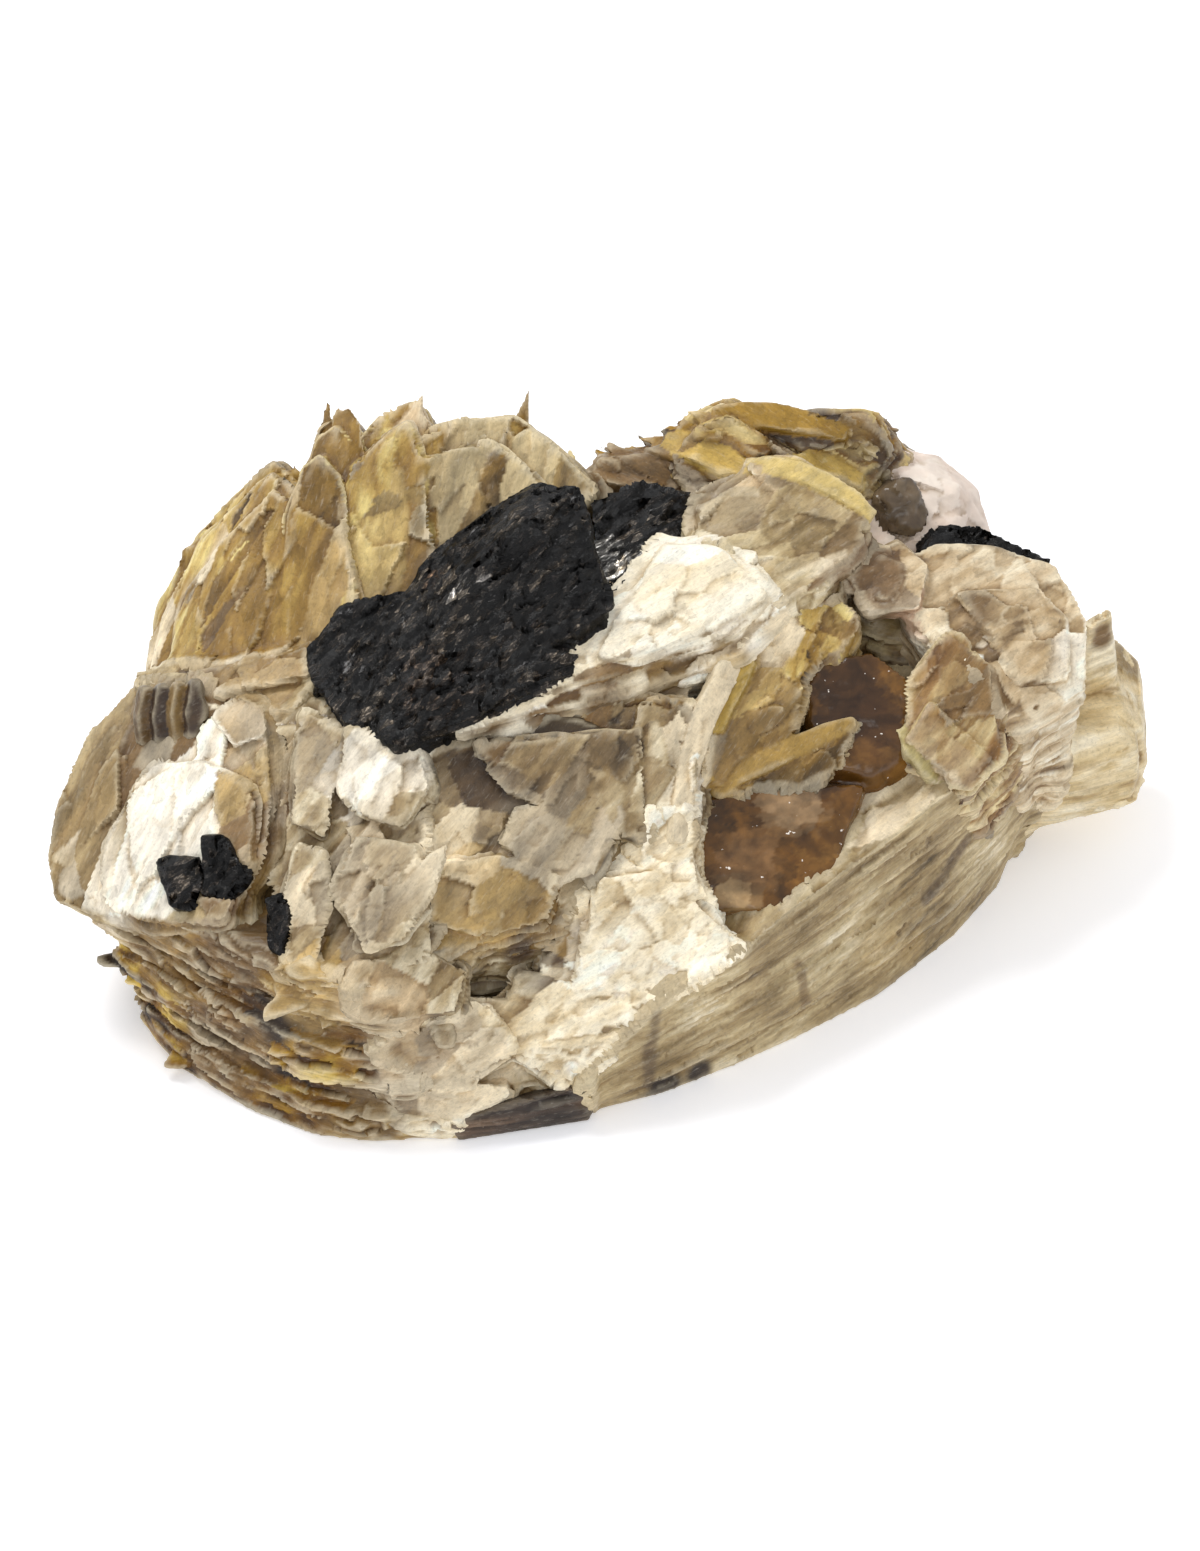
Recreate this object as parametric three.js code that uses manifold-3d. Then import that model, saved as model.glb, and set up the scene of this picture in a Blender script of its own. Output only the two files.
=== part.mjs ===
// A hand specimen of pegmatite mica: books of muscovite grown together at different
// tilts, with black schorl, smoky quartz and pink feldspar between them.
//
// Units are millimetres, +Z is up and the specimen lies on its flat-broken underside.
// Every piece is a set of convex blocks joined into one solid. A block is the hull of
// a few corners. A leaf of mica is a thin block, and a book is several leaves that
// step back from one another. Each piece is cut back from the pieces before it in the
// list, because those are the crystals that the later ones grew around.

import * as THREE from "three";
import { ConvexGeometry } from "three/addons/geometries/ConvexGeometry.js";
import { mergeVertices } from "three/addons/utils/BufferGeometryUtils.js";
import Module from "manifold-3d";

const wasm = await Module();
wasm.setup();

// ---------------------------------------------------------------- driving sizes

const CLEFT = 0.3; // the open cleft between two pieces that touch
const FLAKE_LIFT = [0, -0.7, 0.9]; // how far a loose flake stands off the book it lies on
const FLAKE_ROOT = [0, 1.8, -2.4]; // and how deep it is rooted, measured from its top
const LEAF_LAP = 0.12; // the share of its thickness by which a wall's leaf laps the next
const FINEST_STEP = 0.06; // slivers finer than this are smoothed away
const GROUND_SIZE = 200; // wider than the specimen, for the cut that makes the underside

// ---------------------------------------------------------------- block shapes

/** A corner as a vector, moved by an offset. */
const corner = ([x, y, z], [dx, dy, dz] = [0, 0, 0]) =>
  new THREE.Vector3(x + dx, y + dy, z + dz);

/** The point a share of the way from one corner to another. */
const between = (a, b, share) => a.map((value, i) => value + (b[i] - value) * share);

/** A block from two sets of corners: its top face, and the corners where it ends below. */
const wedge = (face, foot) => [...face, ...foot].map((c) => corner(c));

/** A slab: a broad face, and the same face pushed back. */
const slab = (face, push) => wedge(face, face.map((c) => c.map((v, i) => v + push[i])));

/** A thin flake lying on a book, a little proud of it. */
const flake = (face) =>
  slab(
    face.map((c) => c.map((v, i) => v + FLAKE_LIFT[i])),
    FLAKE_ROOT,
  );

/** A book: leaves of one face, each starting and ending at its own share of the push,
 * and each shrunk by its own size toward one corner of the face. */
const book = (face, push, leaves) =>
  leaves.map(([from, to, size, toward]) => {
    const outline = face.map((c) => between(face[toward], c, size));
    const at = (share) => outline.map((c) => c.map((v, i) => v + push[i] * share));
    return wedge(at(from), at(to));
  });

/** A wall of leaves seen edge-on, from its foot up to its brow. Each leaf stands out
 * from the heart by its own step, and reaches a share of the way in toward it. */
function leafWall(brow, foot, heart, depth, steps) {
  const rim = (share, out) =>
    foot.map((low, i) => {
      const [x, y, z] = between(low, brow[i], share);
      const away = new THREE.Vector2(x - heart[0], y - heart[1]).setLength(out);
      return [x + away.x, y + away.y, z];
    });
  const inward = ([x, y, z]) => [
    x + (heart[0] - x) * depth,
    y + (heart[1] - y) * depth,
    z,
  ];
  return steps.flatMap((out, k) => {
    const low = rim(Math.max(0, k - LEAF_LAP) / steps.length, out);
    const high = rim((k + 1) / steps.length, out);
    return brow.slice(2).map((_, i) => {
      const outer = [...low.slice(i, i + 3), ...high.slice(i, i + 3)];
      return wedge(outer, outer.map(inward));
    });
  });
}

/** A rounded lump: the corners of a subdivided icosahedron, stretched to its radii. */
function lump(centre, radii, turn) {
  const ball = new THREE.IcosahedronGeometry(1, 1);
  ball.scale(...radii);
  ball.rotateZ(THREE.MathUtils.degToRad(turn));
  ball.translate(...centre);
  const at = ball.getAttribute("position");
  return Array.from({ length: at.count }, (_, i) =>
    new THREE.Vector3().fromBufferAttribute(at, i),
  );
}

// ---------------------------------------------------------------- solids

/** The closed mesh of a geometry as a manifold-3d solid. */
function solidFrom(geometry) {
  const bare = new THREE.BufferGeometry();
  bare.setAttribute("position", geometry.getAttribute("position"));
  if (geometry.index) bare.setIndex(geometry.index);
  const merged = mergeVertices(bare, 1e-4);
  return new wasm.Manifold(
    new wasm.Mesh({
      numProp: 3,
      vertProperties: merged.attributes.position.array,
      triVerts: new Uint32Array(merged.index.array),
    }),
  );
}

/** A block's solid. */
const blockSolid = (corners) => solidFrom(new ConvexGeometry(corners));

/** A block's solid, grown by the cleft's width on every side. */
function grownSolid(corners) {
  const sides = [
    [CLEFT, 0, 0],
    [-CLEFT, 0, 0],
    [0, CLEFT, 0],
    [0, -CLEFT, 0],
    [0, 0, CLEFT],
    [0, 0, -CLEFT],
  ];
  const spread = corners.flatMap((c) => sides.map((side) => corner([c.x, c.y, c.z], side)));
  return blockSolid(spread);
}

/** The largest body of a solid, without the chips that cutting leaves beside it. */
const mainBody = (solid) =>
  solid.decompose().reduce((a, b) => (a.volume() > b.volume() ? a : b));

/** A solid's surface as a geometry. */
function geometryOf(solid) {
  const mesh = solid.getMesh();
  const places = new Float32Array(mesh.numVert * 3);
  for (let i = 0; i < mesh.numVert; i++) {
    const start = i * mesh.numProp;
    places.set(mesh.vertProperties.subarray(start, start + 3), i * 3);
  }
  const geometry = new THREE.BufferGeometry();
  geometry.setAttribute("position", new THREE.BufferAttribute(places, 3));
  geometry.setIndex(new THREE.BufferAttribute(mesh.triVerts, 1));
  geometry.computeVertexNormals();
  return geometry;
}

// ---------------------------------------------------------------- finishes

const GOLD_MICA = { color: 0xa8905a, roughness: 0.35, metalness: 0 };
const GREY_MICA = { color: 0xb5aa90, roughness: 0.35, metalness: 0 };
const CREAM_MICA = { color: 0xe8dfc6, roughness: 0.3, metalness: 0 };
const SCHORL = { color: 0x131317, roughness: 0.3, metalness: 0 };
const SMOKY_QUARTZ = { color: 0x5a3d22, roughness: 0.15, metalness: 0 };
const GREY_QUARTZ = { color: 0x6f6654, roughness: 0.35, metalness: 0 };
const FELDSPAR = { color: 0xdcc6b8, roughness: 0.6, metalness: 0 };
const BIOTITE = { color: 0x33261a, roughness: 0.4, metalness: 0 };

// ---------------------------------------------------------------- the pieces

/** The black tourmaline: two stout prisms grown into one, and the smaller ones. */
function schorl() {
  const upperPrism = wedge(
    [
      [-20, 5, 38], [-17, 9, 41], [-10, 14, 44], [-6, 16, 45], [-2, 15, 45],
      [-1, 9, 43], [1, 4, 39], [-5, -1, 37], [-17, -1, 38], [-8, 7, 46],
    ],
    [[-17, 6, 16], [-5, 12, 16], [-4, 0, 16], [-16, -3, 16]],
  );
  const lowerPrism = wedge(
    [
      [-29, 3, 34], [-26, 6, 37], [-20, 6, 39], [-16, 1, 39], [-2, -2, 37],
      [-12, -7, 34], [-20, -10, 32], [-24, -7, 32], [-28, -1, 33],
    ],
    [[-26, 2, 19], [-20, -6, 19], [-8, 0, 18]],
  );
  const splinter = wedge(
    [[-1, 19, 40], [4, 21, 41], [9, 20, 40], [9, 18, 38], [5, 15, 38], [2, 10, 37], [1, 8, 37]],
    [[2, 17, 30], [7, 17, 32]],
  );
  const chipLeft = wedge(
    [[-44, -15, 22], [-42, -17, 23], [-39, -16, 23], [-39, -18, 22], [-40, -20, 20], [-42, -20, 20]],
    [[-41, -14, 18], [-40, -16, 17]],
  );
  const chipMiddle = wedge(
    [[-39, -15, 25], [-37, -15, 25], [-34, -19, 23], [-36, -20, 21], [-39, -19, 21]],
    [[-36, -14, 19], [-37, -17, 18]],
  );
  const chipRight = wedge(
    [[-33, -21, 22], [-31, -20, 22], [-30, -22, 21], [-31, -25, 18], [-32, -24, 18]],
    [[-31, -18, 18], [-30, -20, 16]],
  );
  const ridge = wedge(
    [[32, 24, 31], [34, 25, 32.5], [39, 25, 32], [41, 24, 31], [46, 23, 29], [39, 20, 29], [33, 20, 31]],
    [[33, 23, 24], [41, 22, 22]],
  );
  return [
    { name: "schorl_prism", look: SCHORL, blocks: [upperPrism, lowerPrism] },
    { name: "schorl_splinter", look: SCHORL, blocks: [splinter] },
    { name: "schorl_chip_left", look: SCHORL, blocks: [chipLeft] },
    { name: "schorl_chip_middle", look: SCHORL, blocks: [chipMiddle] },
    { name: "schorl_chip_right", look: SCHORL, blocks: [chipRight] },
    { name: "schorl_ridge", look: SCHORL, blocks: [ridge] },
  ];
}

/** The glassy brown quartz in its hollow, and the pink feldspar behind. */
function quartzAndFeldspar() {
  const glassyFloor = wedge(
    [
      [10, -7, 22.5], [15, -4, 22.5], [20, -4, 22], [26, -3, 21], [23, -11, 16.5],
      [19, -15, 15.5], [11, -17, 17], [9.5, -13, 19],
    ],
    [[14, -8, 6], [26, 0, 8], [28, 8, 12]],
  );
  const darkVein = wedge(
    [[20, 6, 29], [27, 8, 29.5], [31, 6, 27], [31, 1, 23], [27, -2, 22], [22, -2, 23]],
    [[18, 0, 10], [30, 0, 12], [26, 8, 12]],
  );
  return [
    { name: "feldspar_lump", look: FELDSPAR, blocks: [lump([31, 30, 25], [9.5, 8.5, 11], 20)] },
    { name: "quartz_knob", look: GREY_QUARTZ, blocks: [lump([30.5, 26, 33.5], [2.6, 2.6, 3], 0)] },
    { name: "smoky_quartz", look: SMOKY_QUARTZ, blocks: [glassyFloor, darkVein] },
  ];
}

/** The tall golden books that stand at the top left and the top right. */
function standingBooks() {
  const crestLeft = book(
    [
      [-46.5, 8, 27], [-45, 16, 30], [-41, 20, 36], [-33.5, 23, 43], [-30, 19, 42],
      [-28, 13, 37], [-28, 6, 31], [-40, 5, 28],
    ],
    [2, 9, -10],
    [[-0.12, 0.15, 0.8, 6], [0.05, 0.4, 0.92, 6], [0.3, 1, 1, 0]],
  );
  const crestMiddle = book(
    [[-31, 6, 30], [-31, 19, 42], [-29, 24, 46], [-26.8, 24, 48], [-24.5, 22, 46], [-21, 6, 33]],
    [2, 10, -10],
    [[-0.15, 0.1, 0.8, 0], [0, 0.5, 0.92, 5], [0.35, 1, 1, 0]],
  );
  const crestRight = book(
    [
      [-26, 7, 33], [-25.5, 21, 45.5], [-21.5, 24, 48], [-19, 24.5, 49], [-17.5, 21, 46.5],
      [-16, 11, 39], [-19, 6, 34],
    ],
    [2, 9, -10],
    [[-0.05, 0.3, 0.88, 6], [0.2, 1, 1, 0]],
  );
  const crestEnd = book(
    [[-20, 7, 33], [-18, 21, 47], [-13, 23, 47.5], [-9, 24, 47], [-5, 22, 45], [-1, 20, 41], [-10, 12, 36]],
    [2, 9, -10],
    [[-0.05, 0.2, 0.85, 0], [0.1, 1, 1, 0]],
  );
  const crownLeft = book(
    [[-2, 23, 38], [0, 25, 40.5], [6, 26, 41], [10, 25, 40], [10, 22, 36], [2, 21, 34]],
    [1, 9, -6],
    [[0, 1, 1, 0]],
  );
  const crownMiddle = book(
    [[5, 25, 40], [8, 27, 44], [12, 28, 45], [20, 26, 40], [18, 23, 36], [8, 22, 36]],
    [2, 9, -6],
    [[-0.1, 0.2, 0.85, 3], [0.1, 1, 1, 0]],
  );
  const crownRight = book(
    [[11, 28, 44.5], [20, 29, 43.5], [28, 30, 42.5], [31, 29, 38], [28, 26, 34], [16, 25, 36]],
    [1, 8, -7],
    [[0, 0.25, 0.88, 1], [0.15, 1, 1, 1]],
  );
  return [
    { name: "crest_book", look: GOLD_MICA, blocks: [crestLeft, crestMiddle, crestRight, crestEnd].flat() },
    { name: "crown_book", look: GOLD_MICA, blocks: [crownLeft, crownMiddle, crownRight].flat() },
  ];
}

/** The broad books that make the top face. */
function topBooks() {
  const shield = book(
    [
      [-55, -8, 16], [-54, -3, 19], [-51, 2, 24], [-47, 5, 27], [-40, 2, 30], [-33, -3, 30],
      [-32, -8, 27], [-33, -15, 23], [-36, -21, 19], [-42, -18.5, 17], [-49, -15, 14.5], [-54, -12, 14],
    ],
    [6, 8, -9],
    [[-0.12, 0.1, 0.66, 8], [-0.04, 0.4, 0.86, 7], [0, 1, 1, 0]],
  );
  const ovalLeaf = flake([[-38, -2, 29], [-35.5, -0.5, 30], [-33, -1.5, 29.5], [-33, -4.5, 29], [-36, -5, 28]]);
  const ledge = wedge(
    [[-46, 6, 28], [-41, 6, 30], [-29, 7, 33], [-27, 3, 32], [-30, -2, 30.5], [-40, 0, 29], [-46, 0, 27]],
    [[-42, 8, 18], [-30, 8, 20], [-34, 0, 18]],
  );
  const ledgeStrip = flake([[-41, 3.5, 30], [-29, 4, 32.5], [-29, 1.5, 31.5], [-40, 1, 29]]);
  const terrace = book(
    [
      [-14, -8, 33], [-6, -3, 34], [0, 6, 35.5], [6, 15, 38], [12, 14, 38], [17, 10, 36.5], [18, 9, 35],
      [14, 4, 33.5], [8, 1, 33], [-4, -3.5, 32.5],
    ],
    [0, 3, -19],
    [[-0.03, 0.05, 0.93, 3], [0.03, 0.13, 1, 0], [0.1, 1, 0.96, 3]],
  );
  const terraceFlake = flake([[6.5, 14, 38], [12, 13, 38], [16.5, 9, 35.5], [12, 5, 34], [4, 1, 33.5], [0, 0, 35]]);
  const topPlate = book(
    [[9, 16, 39], [9, 20, 40], [15, 24, 41.5], [20, 26, 41], [26, 22, 39], [28, 18, 37], [23, 12, 34.5], [17, 9, 34]],
    [-3, 3, -24],
    [[-0.03, 0.05, 0.85, 7], [0.03, 0.12, 0.95, 0], [0.08, 1, 1, 0]],
  );
  const topPlateFlake = flake([[15, 23, 41], [20, 24.5, 40.5], [25, 21, 39], [27, 18, 37], [20, 19, 38.5]]);
  const dome = wedge(
    [
      [30, 19, 32], [34, 21, 32.5], [40, 21, 32.5], [46, 21, 30], [49, 16, 27], [49, 10, 23],
      [44, 6, 22], [39, 5, 25], [36, 8, 28], [30, 13, 32],
    ],
    [[34, 16, 12], [44, 18, 8], [46, 10, 8], [38, 6, 12]],
  );
  const domeCap = flake([[36, 15, 31], [44, 17, 30], [47, 16, 27], [47, 10, 24], [42, 8, 25], [39, 12, 29]]);
  const domeBrow = flake([[25, 15, 34], [30, 21, 33], [33, 17, 33], [32, 12.5, 31], [27, 12, 31]]);
  return [
    { name: "shield_book", look: CREAM_MICA, blocks: [...shield, ovalLeaf] },
    { name: "ledge_book", look: GOLD_MICA, blocks: [ledge, ledgeStrip] },
    { name: "terrace_book", look: CREAM_MICA, blocks: [...terrace, terraceFlake] },
    { name: "top_plate_book", look: GREY_MICA, blocks: [...topPlate, topPlateFlake] },
    { name: "dome_book", look: GREY_MICA, blocks: [dome, domeCap, domeBrow] },
  ];
}

/** The leaves that line the hollow in front of the quartz. */
function hollowBooks() {
  const leftLeaf = slab(
    [[10, -6, 25], [11.5, 2, 31], [16, 8, 33.5], [20, 9, 33], [20, 3, 29], [18, -3, 24], [14, -6, 22.5]],
    [-2, 3, -12],
  );
  const innerLeaf = slab(
    [[18, 10, 34], [24, 13, 33], [26, 10, 31], [22, 6, 30], [19, 3, 29]],
    [0, 2, -12],
  );
  const lowStrip = slab([[15, -5, 23], [20, -1.5, 25], [26, 2, 25.5], [27, -0.5, 23], [20, -4.5, 22.5]], [0, 3, -4]);
  const rightLeaf = slab(
    [[31, 6, 28], [34.5, 9, 31], [39, 7, 28.5], [40, 1, 22], [37, -1, 19], [30.5, 0, 23]],
    [2, 4, -9],
  );
  const rightStrip = flake([[30.5, 1, 23.5], [33, 4, 26], [39, 1, 21], [37, -1, 18.5]]);
  return [
    { name: "hollow_left_book", look: GOLD_MICA, blocks: [leftLeaf, innerLeaf, lowStrip] },
    { name: "hollow_right_book", look: GOLD_MICA, blocks: [rightLeaf, rightStrip] },
  ];
}

/** The thick book seen edge-on along the right front, and the block at the right end. */
function sideBooks() {
  const wall = leafWall(
    [
      [-2, -29, 5.5], [5, -25.5, 11.5], [13, -20.5, 14.5], [19.5, -15, 16.5], [27, -8, 17.5],
      [34, -1.5, 18.5], [41, 4.5, 21], [48, 11, 23],
    ],
    [
      [-1, -28, 0], [6, -25.5, 0], [13, -21.5, 0], [20, -17, 0], [28, -11, 0],
      [36, -2, 0], [41, 6, 0], [43, 13, 1],
    ],
    [22, 14],
    0.7,
    [-0.4, 0.3, -0.2, 0.3],
  );
  const block = book(
    [[44, 8, 12], [47, 12, 15.5], [53, 13, 15.5], [55.5, 12.5, 13], [56, 12, 9], [55, 12, 5], [47, 11, 3], [43, 11, 2]],
    [0, 13, 1],
    [[0, 0.4, 0.9, 1], [0.2, 1, 1, 0]],
  );
  const spur = wedge([[49, 17, 14], [50, 20, 24], [52, 21, 24.5], [53, 19, 15]], [[46, 24, 13], [53, 24, 13]]);
  return [
    { name: "side_slab_book", look: GREY_MICA, blocks: wall },
    { name: "right_block_book", look: CREAM_MICA, blocks: [...block, spur] },
  ];
}

/** The crumpled cream leaves low on the front. */
function creamBook() {
  const body = wedge(
    [[-3, -19, 19], [4, -12, 22], [9, -10, 22], [10, -17, 17], [13, -20, 13], [4, -24, 9], [-10, -27, 6]],
    [[-8, -26, 0], [0, -26, 0], [-2, -12, 6], [8, -10, 8]],
  );
  const foldedLeft = wedge(
    [[-10, -28, 3], [-17, -30, 3], [-22, -29, 5], [-22, -26, 9], [-19, -26, 12], [-8, -25, 12], [-2, -26, 6]],
    [[-20, -29, 0], [-6, -27, 0], [-18, -18, 4], [-4, -18, 4]],
  );
  return [
    body,
    foldedLeft,
    flake([[4.5, -11, 24], [8.5, -10.5, 24], [9.5, -17, 19], [4, -18, 19]]),
    flake([[0, -17.5, 21], [5, -16, 21], [9, -17, 18], [14, -20, 14.5], [10, -22, 13], [5, -24, 11], [-3, -24, 11]]),
    flake([[-8, -22, 13], [4, -24, 11], [0, -27, 7], [-4, -28, 4], [-10, -27, 8]]),
    flake([[-22, -29, 9], [-19, -28, 12], [-11, -26, 12], [-8, -27.5, 8], [-14, -30, 5]]),
    flake([[-21, -30, 6], [-14, -30, 6], [-9, -29, 4], [-15, -31, 1.5], [-19.5, -31, 2]]),
  ];
}

/** The short plates between the shield and the middle. */
function midLeftBook() {
  const body = wedge(
    [
      [-33, -4, 28], [-29, 0, 30], [-22, -6, 30.5], [-18, -7, 29.5], [-17, -15, 25], [-17, -26, 18.5],
      [-24, -27, 17], [-31, -25, 16], [-32, -15, 22],
    ],
    [[-28, -18, 8], [-18, -18, 8], [-20, 0, 14], [-28, 0, 14]],
  );
  return [
    body,
    flake([[-29, -2.5, 30], [-25, -6, 30], [-26, -9, 28], [-27, -15, 24.5], [-30, -13, 25], [-30, -7, 28]]),
    flake([[-25, -6.5, 31], [-18, -8, 30], [-17, -12, 28], [-19.5, -15, 26], [-23, -14, 26.5], [-25.5, -11.5, 27]]),
    flake([[-29.5, -15.5, 24], [-27, -17, 24], [-26.5, -20.5, 21.5], [-28, -25, 17.5], [-30, -25, 17], [-31, -20, 21]]),
    flake([[-24, -16, 25], [-18, -17, 25], [-17.5, -22, 22], [-19, -25, 20], [-22.5, -25.5, 19], [-26, -20, 22]]),
    flake([[-24, -26, 18], [-17, -24, 17], [-13, -24, 15], [-14, -28, 13], [-20, -28.5, 13], [-24, -28, 14]]),
  ];
}

/** The grey-brown leaves in the middle of the front. */
function centreBook() {
  const body = wedge(
    [
      [-18, -8, 30], [-8, -3, 31], [4, -2, 31.5], [11, 0, 29.5], [9, -8, 25], [9, -14, 21],
      [0, -18, 19], [-4, -20, 18], [-17, -24, 18], [-17, -17, 24],
    ],
    [[-16, -18, 4], [0, -16, 4], [10, -4, 6], [-10, 4, 8]],
  );
  return [
    body,
    flake([[-12, -8, 30], [-4, -6.5, 30], [4, -5, 30], [4, -14, 23], [-3, -12.5, 25], [-9, -11, 27]]),
    flake([[4, -2.5, 31], [9.5, -1, 30], [9.5, -8, 26], [9, -15, 20], [4, -14, 22], [2.5, -8, 27]]),
    flake([[-8, -12.5, 26], [-2.5, -12, 25.5], [2, -13, 24], [-0.5, -16.5, 21.5], [-6, -17, 22], [-9.5, -15.5, 24]]),
    flake([[-16, -18, 23], [-10, -16.5, 23.5], [-4, -17.5, 21.5], [-6, -20.5, 18], [-12, -22, 18], [-16.5, -22, 20]]),
  ];
}

/** The books of the front. */
function frontBooks() {
  const fan = leafWall(
    [[-50, -13, 15], [-44, -17, 17], [-37, -21, 18], [-30, -26, 17], [-23, -28, 17], [-13, -27, 15]],
    [[-45, -16, 1], [-41, -22, 0.5], [-35, -27, 0], [-28, -31, 0], [-22, -32, 0], [-13, -31, 0]],
    [-24, -10],
    0.6,
    [0.2, -0.6, 0.5, -0.4, 0.4],
  );
  const foot = wedge([[-15, -32, 3], [-8, -31, 4], [-1, -29, 5], [-1, -29, 0], [-14, -32, 0]], [[-12, -26, 0], [-2, -25, 0]]);
  return [
    { name: "cream_book", look: CREAM_MICA, blocks: creamBook() },
    { name: "mid_left_book", look: GREY_MICA, blocks: midLeftBook() },
    { name: "centre_book", look: GREY_MICA, blocks: centreBook() },
    { name: "biotite_foot", look: BIOTITE, blocks: [foot] },
    { name: "fan_book", look: GOLD_MICA, blocks: fan },
  ];
}

/** The books of the back, which carry the crest, the crown and the dome to the ground. */
function rearBooks() {
  const left = leafWall(
    [
      [-50, -8, 13], [-50, 1, 18], [-46, 10, 21], [-42, 21, 26], [-36, 28, 32], [-26, 32, 37],
      [-15, 33, 37], [-5, 31, 31],
    ],
    [
      [-45, -12, 0], [-46, -3, 0], [-44, 8, 0], [-39, 18, 0], [-31, 26, 0], [-22, 30, 0],
      [-12, 32, 0], [-4, 31, 0],
    ],
    [-14, 0],
    0.5,
    [-0.5, 0.6, -0.2],
  );
  const leftBed = wedge(
    [[-38, -12, 12], [-38, 8, 18], [-28, 18, 24], [-8, 22, 24], [-5, 4, 16], [-20, -10, 14]],
    [[-40, -12, 0], [-38, 14, 0], [-22, 27, 0], [-5, 28, 0], [-5, -14, 0], [-26, -20, 0]],
  );
  const right = leafWall(
    [
      [-6, 31, 31], [4, 34, 32], [14, 35, 36], [24, 35, 34], [33, 31, 28], [41, 25, 27],
      [46, 20, 22], [47, 13, 18],
    ],
    [
      [-5, 31, 0], [4, 34, 0], [14, 35, 0], [24, 32, 0], [32, 27, 0], [38, 21, 0],
      [43, 16, 0], [43, 11, 0],
    ],
    [14, 4],
    0.5,
    [0.4, -0.5, 0.5],
  );
  const rightBed = wedge(
    [[-4, 4, 16], [-4, 24, 24], [14, 26, 22], [28, 22, 16], [32, 12, 12], [10, -4, 10]],
    [[-4, -14, 0], [-4, 28, 0], [14, 30, 0], [30, 25, 0], [36, 14, 0], [18, -8, 0], [4, -18, 0]],
  );
  return [
    { name: "rear_left_book", look: GREY_MICA, blocks: [...left, leftBed] },
    { name: "rear_right_book", look: GREY_MICA, blocks: [...right, rightBed] },
  ];
}

// ---------------------------------------------------------------- assembly

/** The half of space above the ground, which cuts the underside flat. */
function aboveGround() {
  const half = new THREE.BoxGeometry(GROUND_SIZE, GROUND_SIZE, GROUND_SIZE);
  half.translate(0, 0, GROUND_SIZE / 2);
  return solidFrom(half);
}

/** Joins a list of solids. */
const joined = (solids) => solids.reduce((a, b) => a.add(b));

/** Builds each piece in turn, cut back from the ones before it. */
function buildSpecimen() {
  const pieces = [
    ...schorl(),
    ...quartzAndFeldspar(),
    ...standingBooks(),
    ...topBooks(),
    ...hollowBooks(),
    ...sideBooks(),
    ...frontBooks(),
    ...rearBooks(),
  ];
  const specimen = new THREE.Group();
  const ground = aboveGround();
  const taken = [];
  for (const { name, look, blocks } of pieces) {
    const whole = joined(blocks.map(blockSolid)).intersect(ground);
    const cut = taken.length ? whole.subtract(joined(taken)) : whole;
    const shape = geometryOf(mainBody(cut.simplify(FINEST_STEP)));
    const mesh = new THREE.Mesh(shape, new THREE.MeshStandardMaterial(look));
    mesh.name = name;
    specimen.add(mesh);
    taken.push(joined(blocks.map(grownSolid)).simplify(FINEST_STEP));
  }
  return specimen;
}

/** Moves the specimen so that the origin is under the middle of its box, on the ground. */
function centreOnGround(specimen) {
  const box = new THREE.Box3().setFromObject(specimen);
  const middle = box.getCenter(new THREE.Vector3());
  specimen.position.set(-middle.x, -middle.y, -box.min.z);
  return specimen;
}

export default centreOnGround(buildSpecimen());
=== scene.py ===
"""A mica crystal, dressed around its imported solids.

The specimen is a cluster of muscovite books with black schorl, smoky quartz and
feldspar. Every CAD node is copied, given real grain by splitting it along its own
cleavage, painted leaf by leaf and given a mineral's finish.
"""

import logging
import math
from dataclasses import dataclass, field
from enum import Enum
from typing import Protocol

import bpy
import numpy as np
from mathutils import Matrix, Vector
from mathutils.bvhtree import BVHTree


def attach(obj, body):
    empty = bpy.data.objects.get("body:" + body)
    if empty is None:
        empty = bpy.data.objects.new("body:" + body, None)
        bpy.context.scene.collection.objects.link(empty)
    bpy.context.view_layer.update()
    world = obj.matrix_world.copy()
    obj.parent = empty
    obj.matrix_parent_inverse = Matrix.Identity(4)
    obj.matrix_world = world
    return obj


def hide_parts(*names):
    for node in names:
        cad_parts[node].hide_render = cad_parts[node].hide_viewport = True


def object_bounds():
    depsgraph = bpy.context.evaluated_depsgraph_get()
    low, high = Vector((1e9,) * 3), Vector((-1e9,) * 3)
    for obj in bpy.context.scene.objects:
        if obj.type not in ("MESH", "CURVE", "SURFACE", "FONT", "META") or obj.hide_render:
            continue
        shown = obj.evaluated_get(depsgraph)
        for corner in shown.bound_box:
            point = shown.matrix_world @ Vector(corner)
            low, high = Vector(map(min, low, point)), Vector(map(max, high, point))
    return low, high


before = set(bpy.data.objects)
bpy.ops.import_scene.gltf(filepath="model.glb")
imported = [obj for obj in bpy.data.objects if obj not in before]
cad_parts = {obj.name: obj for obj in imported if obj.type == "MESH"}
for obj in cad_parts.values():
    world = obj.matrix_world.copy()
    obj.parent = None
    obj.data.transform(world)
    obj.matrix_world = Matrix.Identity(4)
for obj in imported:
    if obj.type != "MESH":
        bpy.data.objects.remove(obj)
CAD_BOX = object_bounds()

log = logging.getLogger("mica")

MM = 0.001
HASH_BITS = 0xFFFFFFFF
SMOOTH_ANGLE = math.radians(35)
# loose leaves stay this far off the ground, and this close to the CAD's box
GROUND_GAP, BOX_SLACK = 0.8, 0.6
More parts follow.
